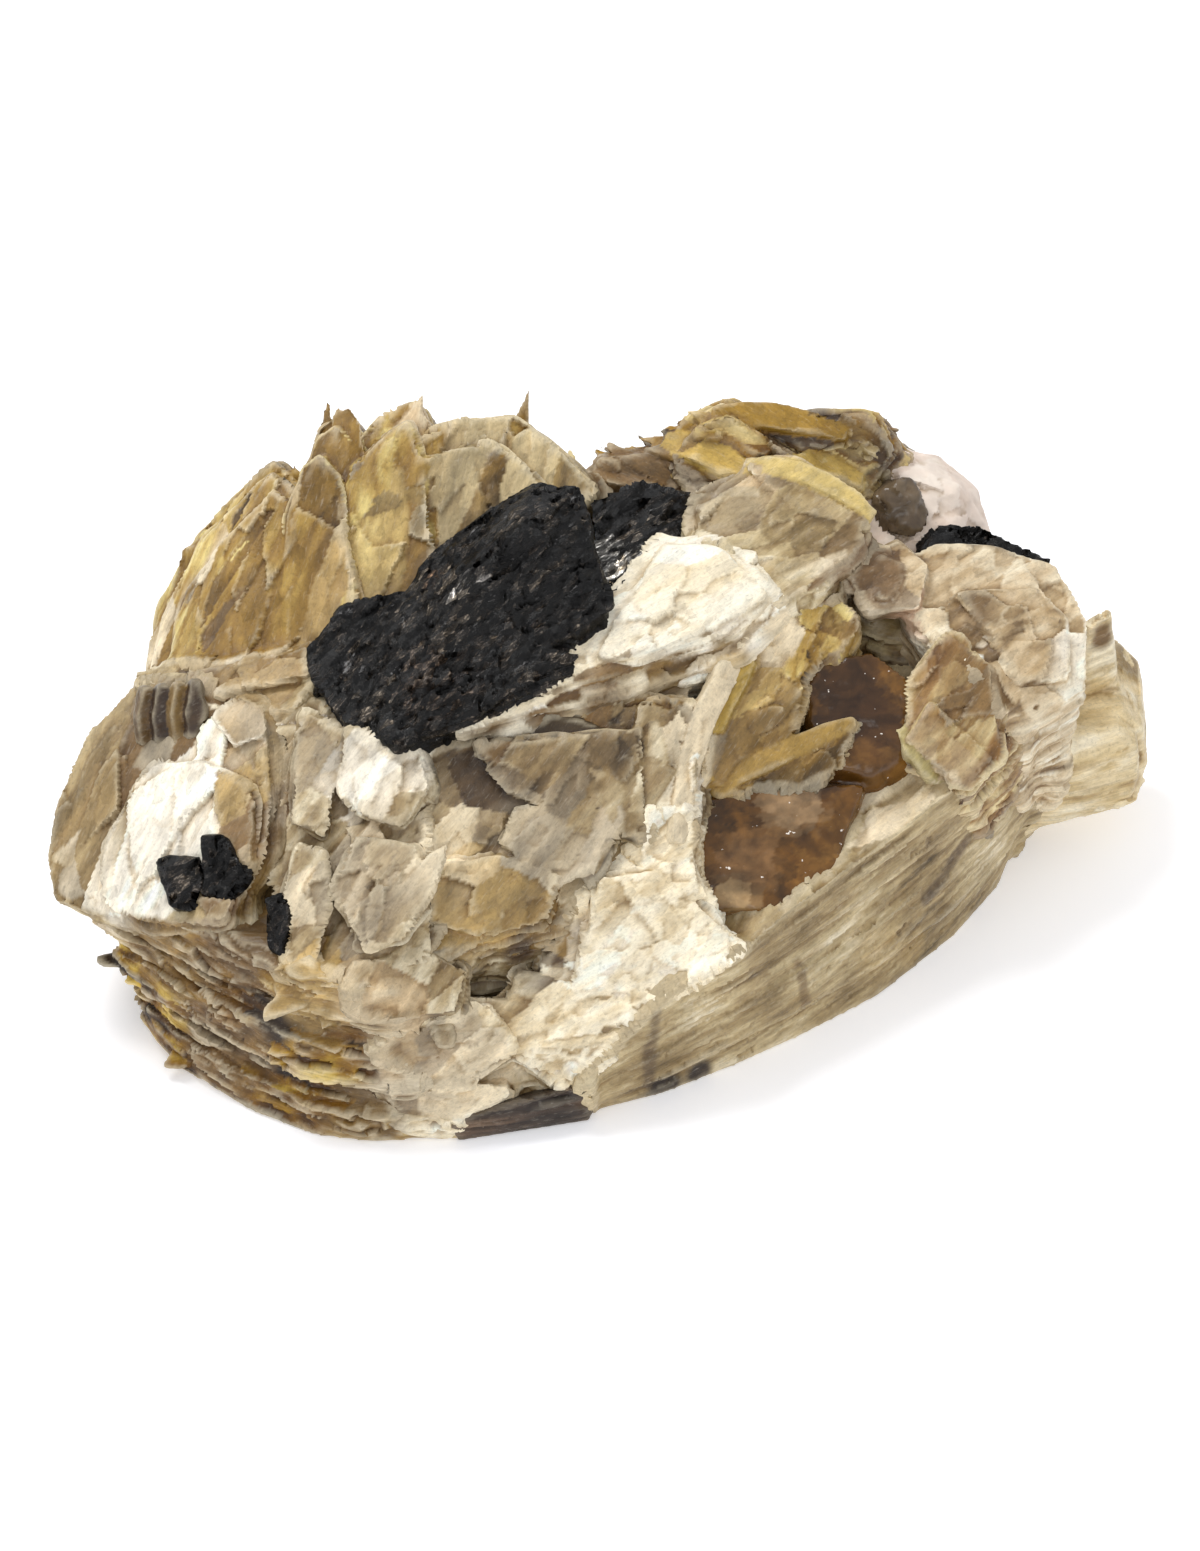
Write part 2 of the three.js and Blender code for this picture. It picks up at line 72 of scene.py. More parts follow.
# the shares that a leaf's corner is broken back to, and how far it may outreach the next
BREAKS, CORNER_RATIO = (1.0, 0.82, 0.66, 0.52, 0.4, 0.28), 1.12
# books weld to what is nearer than the first, and half of the weld is gone by the second
WELD_REACH, WELD_FADE, WELD_ROUNDS = 4.0, 2.2, 6
# how much red, green and blue the painted shade in a hollow takes out, and the painted highlight on a thin
# rim
HOLLOW_SHADE, RIM_LIGHT = (1.4, 1.75, 2.3), "#e9dcbd"
# the pale colours of the painted glints on the mica, the schorl and the quartz
MICA_GLINT, GLINT, QUARTZ_GLINT = "#f3ead6", "#9c9a98", "#efe6da"
Array = np.ndarray
Triple = tuple[float, float, float]


# ---------------------------------------------------------------- colour and noise


def linear(code: str) -> Triple:
    """An sRGB hex colour as linear red, green and blue."""
    parts = [int(code[i : i + 2], 16) / 255 for i in (1, 3, 5)]
    return tuple(c / 12.92 if c <= 0.04045 else ((c + 0.055) / 1.055) ** 2.4 for c in parts)


def hashed(cell: Array, seed: int) -> Array:
    """A repeatable random value from 0 to 1 for each whole-number point.

    Args:
        cell: whole-number points, three to a row.
        seed: picks one of many independent sets of values.

    Returns:
        One value a row.
    """
    x, y, z = (cell[:, i].astype(np.int64) for i in range(3))
    mixed = (x * 374761393 + y * 668265263 + z * 1274126177 + seed * 1013904223) & HASH_BITS
    mixed = ((mixed ^ (mixed >> 13)) * 1274126177) & HASH_BITS
    mixed = ((mixed ^ (mixed >> 15)) * 668265263) & HASH_BITS
    return ((mixed ^ (mixed >> 16)) & 0xFFFFF) / 0xFFFFF


def noise(points: Array, seed: int) -> Array:
    """Smooth noise from -1 to 1, which turns about once a unit.

    Args:
        points: places, three to a row.
        seed: picks the pattern.

    Returns:
        One value a row.
    """
    base = np.floor(points).astype(np.int64)
    part = points - base
    part = part * part * (3 - 2 * part)
    total = np.zeros(len(points))
    for corner in np.ndindex(2, 2, 2):
        step = np.array(corner)
        share = np.prod(np.where(step == 1, part, 1 - part), axis=1)
        total += share * hashed(base + step, seed)
    return total * 2 - 1


def rough_noise(points: Array, seed: int, octaves: int = 3) -> Array:
    """Noise with finer and finer detail laid over it.

    Args:
        points: places, three to a row.
        seed: picks the pattern.
        octaves: how many layers of detail.

    Returns:
        One value a row, about -1 to 1.
    """
    layers = [noise(points * 2**k, seed + 17 * k) / 2**k for k in range(octaves)]
    return sum(layers) / 1.6


def plates(flat: Array, seed: int) -> tuple[Array, Array]:
    """Splits a plane into straight-sided cells about one unit wide.

    Args:
        flat: places in the plane, and a whole-number layer, three to a row.
        seed: picks the pattern.

    Returns:
        The cell that each place is in, and the place's offset from the cell's middle.
    """
    base = np.floor(flat).astype(np.int64)
    nearest = np.full(len(flat), np.inf)
    key = base.copy()
    offset = np.zeros((len(flat), 2))
    for dx, dy in np.ndindex(3, 3):
        cell = base + np.array([dx - 1, dy - 1, 0])
        middle = cell[:, :2] + np.stack([hashed(cell, seed), hashed(cell, seed + 1)], 1)
        away = flat[:, :2] - middle
        distance = (away**2).sum(1)
        closer = distance < nearest
        nearest[closer] = distance[closer]
        key[closer] = cell[closer]
        offset[closer] = away[closer]
    return key, offset


def unit(vector: Triple) -> Array:
    """A vector at length one."""
    return np.array(vector, float) / np.linalg.norm(vector)


# ---------------------------------------------------------------- what a piece is made from


@dataclass(frozen=True)
class Spot:
    """A patch of colour: its middle and radius in millimetres, and its colour."""

    at: Triple
    radius: float
    colour: str
    strength: float = 1.0


@dataclass(frozen=True)
class Strip:
    """One long leaf along a path of points, in millimetres, and the way that it faces."""

    path: tuple[Triple, ...]
    width: float
    face: Triple
    colour: str
    thick: float = 0.9


@dataclass(frozen=True)
class Flakes:
    """The loose leaves that lie on a book, in millimetres.

    every is the surface that each leaf has to itself, in square millimetres, lean how far
    it tips from the book's cleavage, as a slope, turn how far it swings round, in radians,
    proud the least and most that its highest corner stands above the surface, and over
    how far past the book's rim it may hang.
    """

    every: float = 14.0
    long: float = 9.0
    wide: float = 5.0
    thick: float = 0.75
    lean: float = 0.09
    turn: float = 0.35
    proud: tuple[float, float] = (0.1, 0.6)
    over: float = 0.3


@dataclass(frozen=True)
class Grain:
    """How a mineral splits: along which plane, how finely, and how raggedly.

    leaf is the thickness of the leaves seen at an edge, ragged how far they jut there and
    run how far one keeps its jut. plate is the length and width of the broken plates on a
    face, step the height between them and tilt how far each leans. crumple is the fine
    roughness, grow how much the whole piece swells, and weld how much more it swells
    toward a neighbour. All sizes are in millimetres, and tilt is a slope.
    """

    face: Triple
    along: Triple
    leaf: float = 0.9
    plate: tuple[float, float] = (7.0, 3.5)
    step: float = 0.3
    tilt: float = 0.05
    ragged: float = 0.45
    crumple: float = 0.08
    grow: float = 0.2
    weld: float = 1.4
    run: float = 4.5
    flakes: Flakes | None = Flakes()

    def axes(self) -> Array:
        """The grain's own axes as rows: along, across and through the leaves."""
        through = unit(self.face)
        along = np.array(self.along, float)
        along = along - through * (along @ through)
        along = along / np.linalg.norm(along)
        return np.stack([along, np.cross(through, along), through])


class Voxel(Enum):
    """How finely a piece is resolved, in millimetres."""

    FINE = 0.28
    MEDIUM = 0.31
    COARSE = 0.5


# ---------------------------------------------------------------- materials


def node(
    tree: bpy.types.NodeTree,
    kind: str,
    links: dict | None = None,
    stops: tuple[tuple[float, float], ...] = (),
    **settings: object,
) -> bpy.types.Node:
    """Adds one shader node.

    Args:
        tree: the material's node tree.
        kind: the node's type without its prefix, such as "Mix".
        links: input name or number to the output that feeds it, or to a plain value.
        stops: place and grey of each stop, where the node has a colour ramp.
        settings: the node's own properties.

    Returns:
        The new node.
    """
    made = tree.nodes.new(f"ShaderNode{kind}")
    for name, value in settings.items():
        setattr(made, name, value)
    for place, source in (links or {}).items():
        socket = made.inputs[place]
        if isinstance(source, bpy.types.NodeSocket):
            tree.links.new(source, socket)
        else:
            socket.default_value = source
    for k, (place, grey) in enumerate(stops):
        elements = made.color_ramp.elements
        element = elements[k] if k < len(elements) else elements.new(place)
        element.position = place
        element.color = (grey, grey, grey, 1)
    return made


def blank(name: str) -> bpy.types.Material:
    """A new material with an empty node tree."""
    made = bpy.data.materials.new(name)
    made.use_nodes = True
    made.node_tree.nodes.clear()
    return made


class Finish(Protocol):
    """What every finish has: a name, and a way to make its material."""

    name: str

    def material(self) -> bpy.types.Material:
        """Makes the material."""


@dataclass(frozen=True)
class MicaFinish:
    """Muscovite, grown as stacked sheets and then split and torn.

    To the eye it is satin: pearly scales on a face, each catching the light its own way,
    and fine stripes of light and dark where the sheets end. stripe_mm is a few sheets
    thick, because single sheets are too fine to show.
    """

    name: str = "muscovite_sheets"
    roughness: float = 0.34
    glint_strength: float = 0.14
    stripe_mm: float = 0.22
    relief: float = 0.3

    def material(self) -> bpy.types.Material:
        """The material: leaf colour from the mesh, with stripes, painted glints and facets on it."""
        made = blank(self.name)
        tree = made.node_tree
        leaf = node(tree, "Attribute", attribute_name="leaf").outputs["Vector"]
        tint = node(tree, "Attribute", attribute_name="tint").outputs["Color"]
        edge = node(tree, "Attribute", attribute_name="edge").outputs["Fac"]
        # sheets at an edge: long stripes, a fraction of a millimetre apart
        sheets = node(tree, "Mapping", {"Vector": leaf, "Scale": (0.12, 0.12, 1 / self.stripe_mm)}).outputs[0]
        stripes = node(
            tree, "TexNoise", {"Vector": sheets, "Scale": 1.0, "Detail": 3.0, "Roughness": 0.6}
        ).outputs["Fac"]
        # torn scales on a face: a millimetre or so across, longer along the grain
        torn = node(tree, "Mapping", {"Vector": leaf, "Scale": (0.55, 1.0, 1.2)}).outputs[0]
        wander = node(tree, "TexNoise", {"Vector": torn, "Scale": 1.3, "Detail": 4.0})
        torn = node(
            tree, "Mix", {"Factor": 0.28, "A": torn, "B": wander.outputs["Color"]}, data_type="VECTOR"
        )
        scales = node(tree, "TexVoronoi", {"Vector": torn.outputs["Result"], "Scale": 1.35, "Detail": 1.0})
        fine = node(
            tree, "TexNoise", {"Vector": leaf, "Scale": 2.6, "Detail": 6.0, "Roughness": 0.7}
        ).outputs["Fac"]
        cloud = node(
            tree, "TexNoise", {"Vector": leaf, "Scale": 0.16, "Detail": 5.0, "Roughness": 0.6}
        ).outputs["Fac"]
        scale_grey = node(tree, "RGBToBW", {0: scales.outputs["Color"]}).outputs[0]
        # brightness: stripes where the sheets end, torn scales where they lie flat
        face_light = node(
            tree, "ValToRGB", {0: scale_grey}, stops=((0.15, 0.86), (0.5, 0.98), (0.85, 1.12))
        ).outputs[0]
        edge_light = node(
            tree, "ValToRGB", {0: stripes}, stops=((0.3, 0.8), (0.52, 0.98), (0.72, 1.1))
        ).outputs[0]
        light = node(tree, "Mix", {"Factor": edge, "A": face_light, "B": edge_light}, data_type="RGBA")
        grime = node(
            tree, "ValToRGB", {0: fine}, stops=((0.28, 0.66), (0.45, 0.97), (0.75, 1.08))
        ).outputs[0]
        shade = node(tree, "ValToRGB", {0: cloud}, stops=((0.3, 0.84), (0.55, 1.0), (0.75, 1.1))).outputs[0]
        # silky threads along the grain, and painted glints: pale specks mixed into the colour
        thread = node(tree, "Mapping", {"Vector": leaf, "Scale": (0.5, 2.6, 2.6)}).outputs[0]
        silk = node(
            tree,
            "TexNoise",
            {"Vector": thread, "Scale": 1.0, "Detail": 4.0, "Roughness": 0.65, "Distortion": 1.6},
        )
        silk_light = node(
            tree, "ValToRGB", {0: silk.outputs["Fac"]}, stops=((0.3, 0.87), (0.5, 1.01), (0.7, 1.12))
        ).outputs[0]
        colour = tint
        for layer in (light.outputs["Result"], grime, shade, silk_light):
            mixed = node(
                tree, "Mix", {"Factor": 1.0, "A": colour, "B": layer}, data_type="RGBA", blend_type="MULTIPLY"
            )
            colour = mixed.outputs["Result"]
        glint_noise = node(
            tree, "TexNoise", {"Vector": thread, "Scale": 1.6, "Detail": 2.0, "Roughness": 0.5}
        ).outputs["Fac"]
        glint_mask = node(tree, "ValToRGB", {0: glint_noise}, stops=((0.6, 0.0), (0.8, self.glint_strength))).outputs[0]
        fleck = node(tree, "Mix", {"Factor": glint_mask, "A": colour, "B": (*linear(MICA_GLINT), 1)}, data_type="RGBA")
        colour = fleck.outputs["Result"]
        # facets: each scale leans its own way, so each catches the light on its own
        lean = node(
            tree, "VectorMath", {0: scales.outputs["Color"], 1: (0.5, 0.5, 0.5)}, operation="SUBTRACT"
        )
        lean = node(tree, "VectorMath", {0: lean.outputs[0], "Scale": self.relief}, operation="SCALE")
        height = node(
            tree, "Mix", {"Factor": edge, "A": fine, "B": stripes}, data_type="FLOAT"
        ).outputs["Result"]
        bump = node(tree, "Bump", {"Height": height, "Strength": 0.45, "Distance": 0.00025})
        normal = node(tree, "VectorMath", {0: bump.outputs[0], 1: lean.outputs[0]}, operation="ADD")
        normal = node(tree, "VectorMath", {0: normal.outputs[0]}, operation="NORMALIZE")
        gloss = node(
            tree,
            "MapRange",
            {"Value": scale_grey, "To Min": self.roughness - 0.12, "To Max": self.roughness + 0.22},
        )
        skin = node(
            tree,
            "BsdfPrincipled",
            {
                "Base Color": colour,
                "Roughness": gloss.outputs[0],
                "IOR": 1.58,
                "Normal": normal.outputs[0],
                "Specular IOR Level": 0.35,
            },
        )
        node(tree, "OutputMaterial", {"Surface": skin.outputs[0]})
        return made


@dataclass(frozen=True)
class SchorlFinish:
    """Schorl, the black tourmaline, broken across its prisms.

    To the eye it is black glass crushed to grains: most facets stay black, some are painted grey as
    highlights, and a few carry painted glints. facet_mm is the width of one grain.
    """

    name: str = "broken_schorl"
    facet_mm: float = 0.55
    roughness: float = 0.25

    def material(self) -> bpy.types.Material:
        """The material: near-black glass whose small facets lean each its own way, with painted highlights
        and glints in its colour.
        """
        made = blank(self.name)
        tree = made.node_tree
        leaf = node(tree, "Attribute", attribute_name="leaf").outputs["Vector"]
        tint = node(tree, "Attribute", attribute_name="tint").outputs["Color"]
        long = node(tree, "Mapping", {"Vector": leaf, "Scale": (0.4, 1.0, 1.0)}).outputs[0]
        facets = node(tree, "TexVoronoi", {"Vector": long, "Scale": 1 / self.facet_mm, "Randomness": 1.0})
        coarse = node(tree, "TexVoronoi", {"Vector": long, "Scale": 0.4 / self.facet_mm, "Randomness": 1.0})
        fine = node(
            tree, "TexNoise", {"Vector": long, "Scale": 4.0, "Detail": 5.0, "Roughness": 0.7}
        ).outputs["Fac"]
        grey = node(tree, "RGBToBW", {0: facets.outputs["Color"]}).outputs[0]
        # painted highlights: some facets lightened in the base colour, and the finest specks lightened far
        # more
        light = node(tree, "ValToRGB", {0: grey}, stops=((0.2, 0.15), (0.6, 0.7), (0.82, 4.5))).outputs[0]
        speck_glints = node(tree, "ValToRGB", {0: fine}, stops=((0.35, 0.4), (0.54, 1.0), (0.64, 6.0))).outputs[0]
        colour = tint
        for layer in (light, speck_glints):
            mixed = node(
                tree, "Mix", {"Factor": 1.0, "A": colour, "B": layer}, data_type="RGBA", blend_type="MULTIPLY"
            )
            colour = mixed.outputs["Result"]
        # painted glints: grey specks mixed into the base colour
        glint = node(
            tree, "TexNoise", {"Vector": long, "Scale": 0.8, "Detail": 6.0, "Roughness": 0.8}
        ).outputs["Fac"]
        shine = node(tree, "ValToRGB", {0: glint}, stops=((0.62, 0.0), (0.7, 0.6))).outputs[0]
        fleck = node(tree, "Mix", {"Factor": shine, "A": colour, "B": (*linear(GLINT), 1)}, data_type="RGBA")
        colour = fleck.outputs["Result"]
        both = node(
            tree, "VectorMath", {0: facets.outputs["Color"], 1: coarse.outputs["Color"]}, operation="ADD"
        )
        lean = node(tree, "VectorMath", {0: both.outputs[0], 1: (1.0, 1.0, 1.0)}, operation="SUBTRACT")
        lean = node(tree, "VectorMath", {0: lean.outputs[0], "Scale": 0.55}, operation="SCALE")
        bump = node(tree, "Bump", {"Height": fine, "Strength": 0.6, "Distance": 0.0003})
        normal = node(tree, "VectorMath", {0: bump.outputs[0], 1: lean.outputs[0]}, operation="ADD")
        normal = node(tree, "VectorMath", {0: normal.outputs[0]}, operation="NORMALIZE")
        skin = node(
            tree,
            "BsdfPrincipled",
            {
                "Base Color": colour,
                "Roughness": self.roughness,
                "IOR": 1.64,
                "Specular IOR Level": 0.16,
                "Normal": normal.outputs[0],
            },
        )
        node(tree, "OutputMaterial", {"Surface": skin.outputs[0]})
        return made


@dataclass(frozen=True)
class QuartzFinish:
    """Smoky quartz, broken in shells.

    To the eye it is resin-brown glass, cloudy inside, with low curved steps and painted glints, small white
    specks in its colour. A higher chips value leaves fewer of them.
    """

    name: str = "smoky_quartz_glass"
    roughness: float = 0.24
    chips: float = 0.72

    def material(self) -> bpy.types.Material:
        """The material: brown glass under a clear skin, darker where it is thick."""
        made = blank(self.name)
        tree = made.node_tree
        leaf = node(tree, "Attribute", attribute_name="leaf").outputs["Vector"]
        tint = node(tree, "Attribute", attribute_name="tint").outputs["Color"]
        depth = node(
            tree, "TexNoise", {"Vector": leaf, "Scale": 0.35, "Detail": 4.0, "Distortion": 0.6}
        ).outputs["Fac"]
        shells = node(tree, "TexVoronoi", {"Vector": leaf, "Scale": 0.7}, feature="SMOOTH_F1")
        specks = node(
            tree, "TexNoise", {"Vector": leaf, "Scale": 1.5, "Detail": 2.0, "Roughness": 0.5}
        ).outputs["Fac"]
        thick = node(tree, "ValToRGB", {0: depth}, stops=((0.3, 0.6), (0.5, 1.0), (0.72, 1.5))).outputs[0]
        body = node(
            tree, "Mix", {"Factor": 1.0, "A": tint, "B": thick}, data_type="RGBA", blend_type="MULTIPLY"
        )
        # painted glints: white specks mixed into the base colour
        chip = node(
            tree, "ValToRGB", {0: specks}, stops=((self.chips, 0.0), (self.chips + 0.03, 1.0))
        ).outputs[0]
        colour = node(
            tree,
            "Mix",
            {"Factor": chip, "A": body.outputs["Result"], "B": (*linear(QUARTZ_GLINT), 1)},
            data_type="RGBA",
        )
        height = node(tree, "Math", {0: shells.outputs["Distance"], 1: depth}, operation="ADD")
        bump = node(tree, "Bump", {"Height": height.outputs[0], "Strength": 0.35, "Distance": 0.0006})
        skin = node(
            tree,
            "BsdfPrincipled",
            {
                "Base Color": colour.outputs["Result"],
                "Roughness": self.roughness,
                "IOR": 1.54,
                "Coat Weight": 0.1,
                "Coat Roughness": 0.05,
                "Specular IOR Level": 0.3,
                "Normal": bump.outputs[0],
            },
        )
        node(tree, "OutputMaterial", {"Surface": skin.outputs[0]})
        return made


@dataclass(frozen=True)
class FeldsparFinish:
    """Feldspar, cleaved and then worn.

    To the eye it is matt and milky, pinkish white, with soft clouds and fine pits.
    """

    name: str = "worn_feldspar"

    def material(self) -> bpy.types.Material:
        """The material: matt pinkish white with clouds and fine pits."""
        made = blank(self.name)
        tree = made.node_tree
        leaf = node(tree, "Attribute", attribute_name="leaf").outputs["Vector"]
        tint = node(tree, "Attribute", attribute_name="tint").outputs["Color"]
        cloud = node(tree, "TexNoise", {"Vector": leaf, "Scale": 0.5, "Detail": 5.0}).outputs["Fac"]
        pits = node(tree, "TexNoise", {"Vector": leaf, "Scale": 5.0, "Detail": 4.0}).outputs["Fac"]
        light = node(tree, "ValToRGB", {0: cloud}, stops=((0.3, 0.86), (0.7, 1.08))).outputs[0]
        colour = node(
            tree, "Mix", {"Factor": 1.0, "A": tint, "B": light}, data_type="RGBA", blend_type="MULTIPLY"
        )
        bump = node(tree, "Bump", {"Height": pits, "Strength": 0.25, "Distance": 0.0002})
        skin = node(
            tree,
            "BsdfPrincipled",
            {
                "Base Color": colour.outputs["Result"],
                "Roughness": 0.5,
                "IOR": 1.53,
                "Normal": bump.outputs[0],
            },
        )
        node(tree, "OutputMaterial", {"Surface": skin.outputs[0]})
        return made


# ---------------------------------------------------------------- pieces


def read_vectors(mesh: bpy.types.Mesh, name: str) -> Array:
    """Every vertex's place or normal.

    Args:
        mesh: the mesh to read.
        name: "co" or "normal".

    Returns:
        One vector a row.
    """
    values = np.empty(len(mesh.vertices) * 3, np.float32)
    mesh.vertices.foreach_get(name, values)
    return values.reshape(-1, 3).astype(float)


def relaxed(mesh: bpy.types.Mesh, values: Array, rounds: int) -> Array:
    """Evens out one value a vertex between neighbours.

    Args:
        mesh: the mesh whose edges join the neighbours.
        values: one row a vertex.
        rounds: how many times each row is pulled to its neighbours' mean.

    Returns:
        The evened rows.
    """
    pairs = np.empty(len(mesh.edges) * 2, np.int32)
    mesh.edges.foreach_get("vertices", pairs)
    one, two = pairs.reshape(-1, 2).T
    size = len(values)
    near = np.maximum(np.bincount(pairs, minlength=size), 1)[:, None]
    for _ in range(rounds):
        rows = [
            np.bincount(one, column[two], size) + np.bincount(two, column[one], size) for column in values.T
        ]
        values = 0.25 * values + 0.75 * np.stack(rows, 1) / near
    return values


def held(solid: BVHTree, point: Array, reach: float) -> bool:
    """Whether a point is within the solid or no further than reach outside it."""
    if solid.find_nearest(point)[3] < reach:
        return True
    ray, start, crossings = Vector(unit((0.31, 0.22, 0.92))), Vector(point), 0
    while (hit := solid.ray_cast(start, ray)[0]) is not None:
        crossings += 1
        start = hit + ray * 1e-3
    return crossings % 2 == 1


def node_corners(name: str) -> tuple[list[Triple], list[tuple[int, ...]]]:
    """A CAD node's corners in millimetres, and its faces."""
    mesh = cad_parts[name].data
    return [tuple(v.co / MM) for v in mesh.vertices], [tuple(p.vertices) for p in mesh.polygons]


def neighbours(name: str) -> BVHTree:
    """A tree of every CAD node's faces but this one's."""
    corners: list[Triple] = []
    faces: list[tuple[int, ...]] = []
    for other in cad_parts:
        if other != name and other not in PERCHED:
            more, polygons = node_corners(other)
            faces += [tuple(k + len(corners) for k in polygon) for polygon in polygons]
            corners += more
    return BVHTree.FromPolygons(corners, faces)


def deselect() -> None:
    """Leaves nothing selected."""
    bpy.ops.object.select_all(action="DESELECT")


@dataclass
class Leaves:
    """The loose leaves of one piece, as corners and faces, with each face's leaf number."""

    corners: list[Triple] = field(default_factory=list)
    faces: list[tuple[int, ...]] = field(default_factory=list)
    owner: list[int] = field(default_factory=list)
    middles: list[Array] = field(default_factory=list)
    through: list[Array] = field(default_factory=list)
    colours: list[str] = field(default_factory=list)

    def lay(self, strip: Strip) -> None:
        """Adds a long leaf that follows a path.

        Args:
            strip: the leaf's path, width, thickness and colour.
        """
        path = np.array(strip.path, float)
        start, count = len(self.corners), len(path)
        forward = np.gradient(path, axis=0)
        through = unit(strip.face)
        side = np.cross(through, forward)
        side /= np.linalg.norm(side, axis=1, keepdims=True)
        taper = np.sin(np.linspace(0.35, math.pi - 0.35, count))[:, None] ** 0.6
        half = side * strip.width / 2 * taper
        lift = through * strip.thick / 2
        for k in range(count):
            self.corners += [
                tuple(path[k] + a * half[k] + b * lift) for a, b in ((-1, -1), (1, -1), (1, 1), (-1, 1))
            ]
        added = [tuple(start + k for k in (3, 2, 1, 0)), tuple(start + 4 * (count - 1) + k for k in range(4))]
        for k in range(count - 1):
            one, two = start + 4 * k, start + 4 * k + 4
            added += [(one + i, one + (i + 1) % 4, two + (i + 1) % 4, two + i) for i in range(4)]
        self.faces += added
        self.owner += [len(self.middles)] * len(added)
        self.middles.append(path.mean(0))
        self.through.append(through)
        self.colours.append(strip.colour)

    def add(self, ring: Array, middle: Array, axes: Array, thick: float) -> None:
        """Adds one leaf.

        Args:
            ring: its outline's corners on the first two axes, in millimetres.
            middle: its middle.
            axes: its own axes as rows.
            thick: its thickness.
        """
        count, start = len(ring), len(self.corners)
        flat = middle + ring @ axes[:2]
        for side in (0.5, -0.5):
            self.corners += [tuple(p) for p in flat + side * thick * axes[2]]
        top = tuple(range(start, start + count))
        under = tuple(range(start + 2 * count - 1, start + count - 1, -1))
        rim = [
            (k, k + count, start + count + (k - start + 1) % count, start + (k - start + 1) % count)
            for k in top
        ]
        added = [top, under, *rim]
        self.faces += added
        self.owner += [len(self.middles)] * len(added)
        self.middles.append(middle)
        self.through.append(axes[2])
        self.colours.append("")


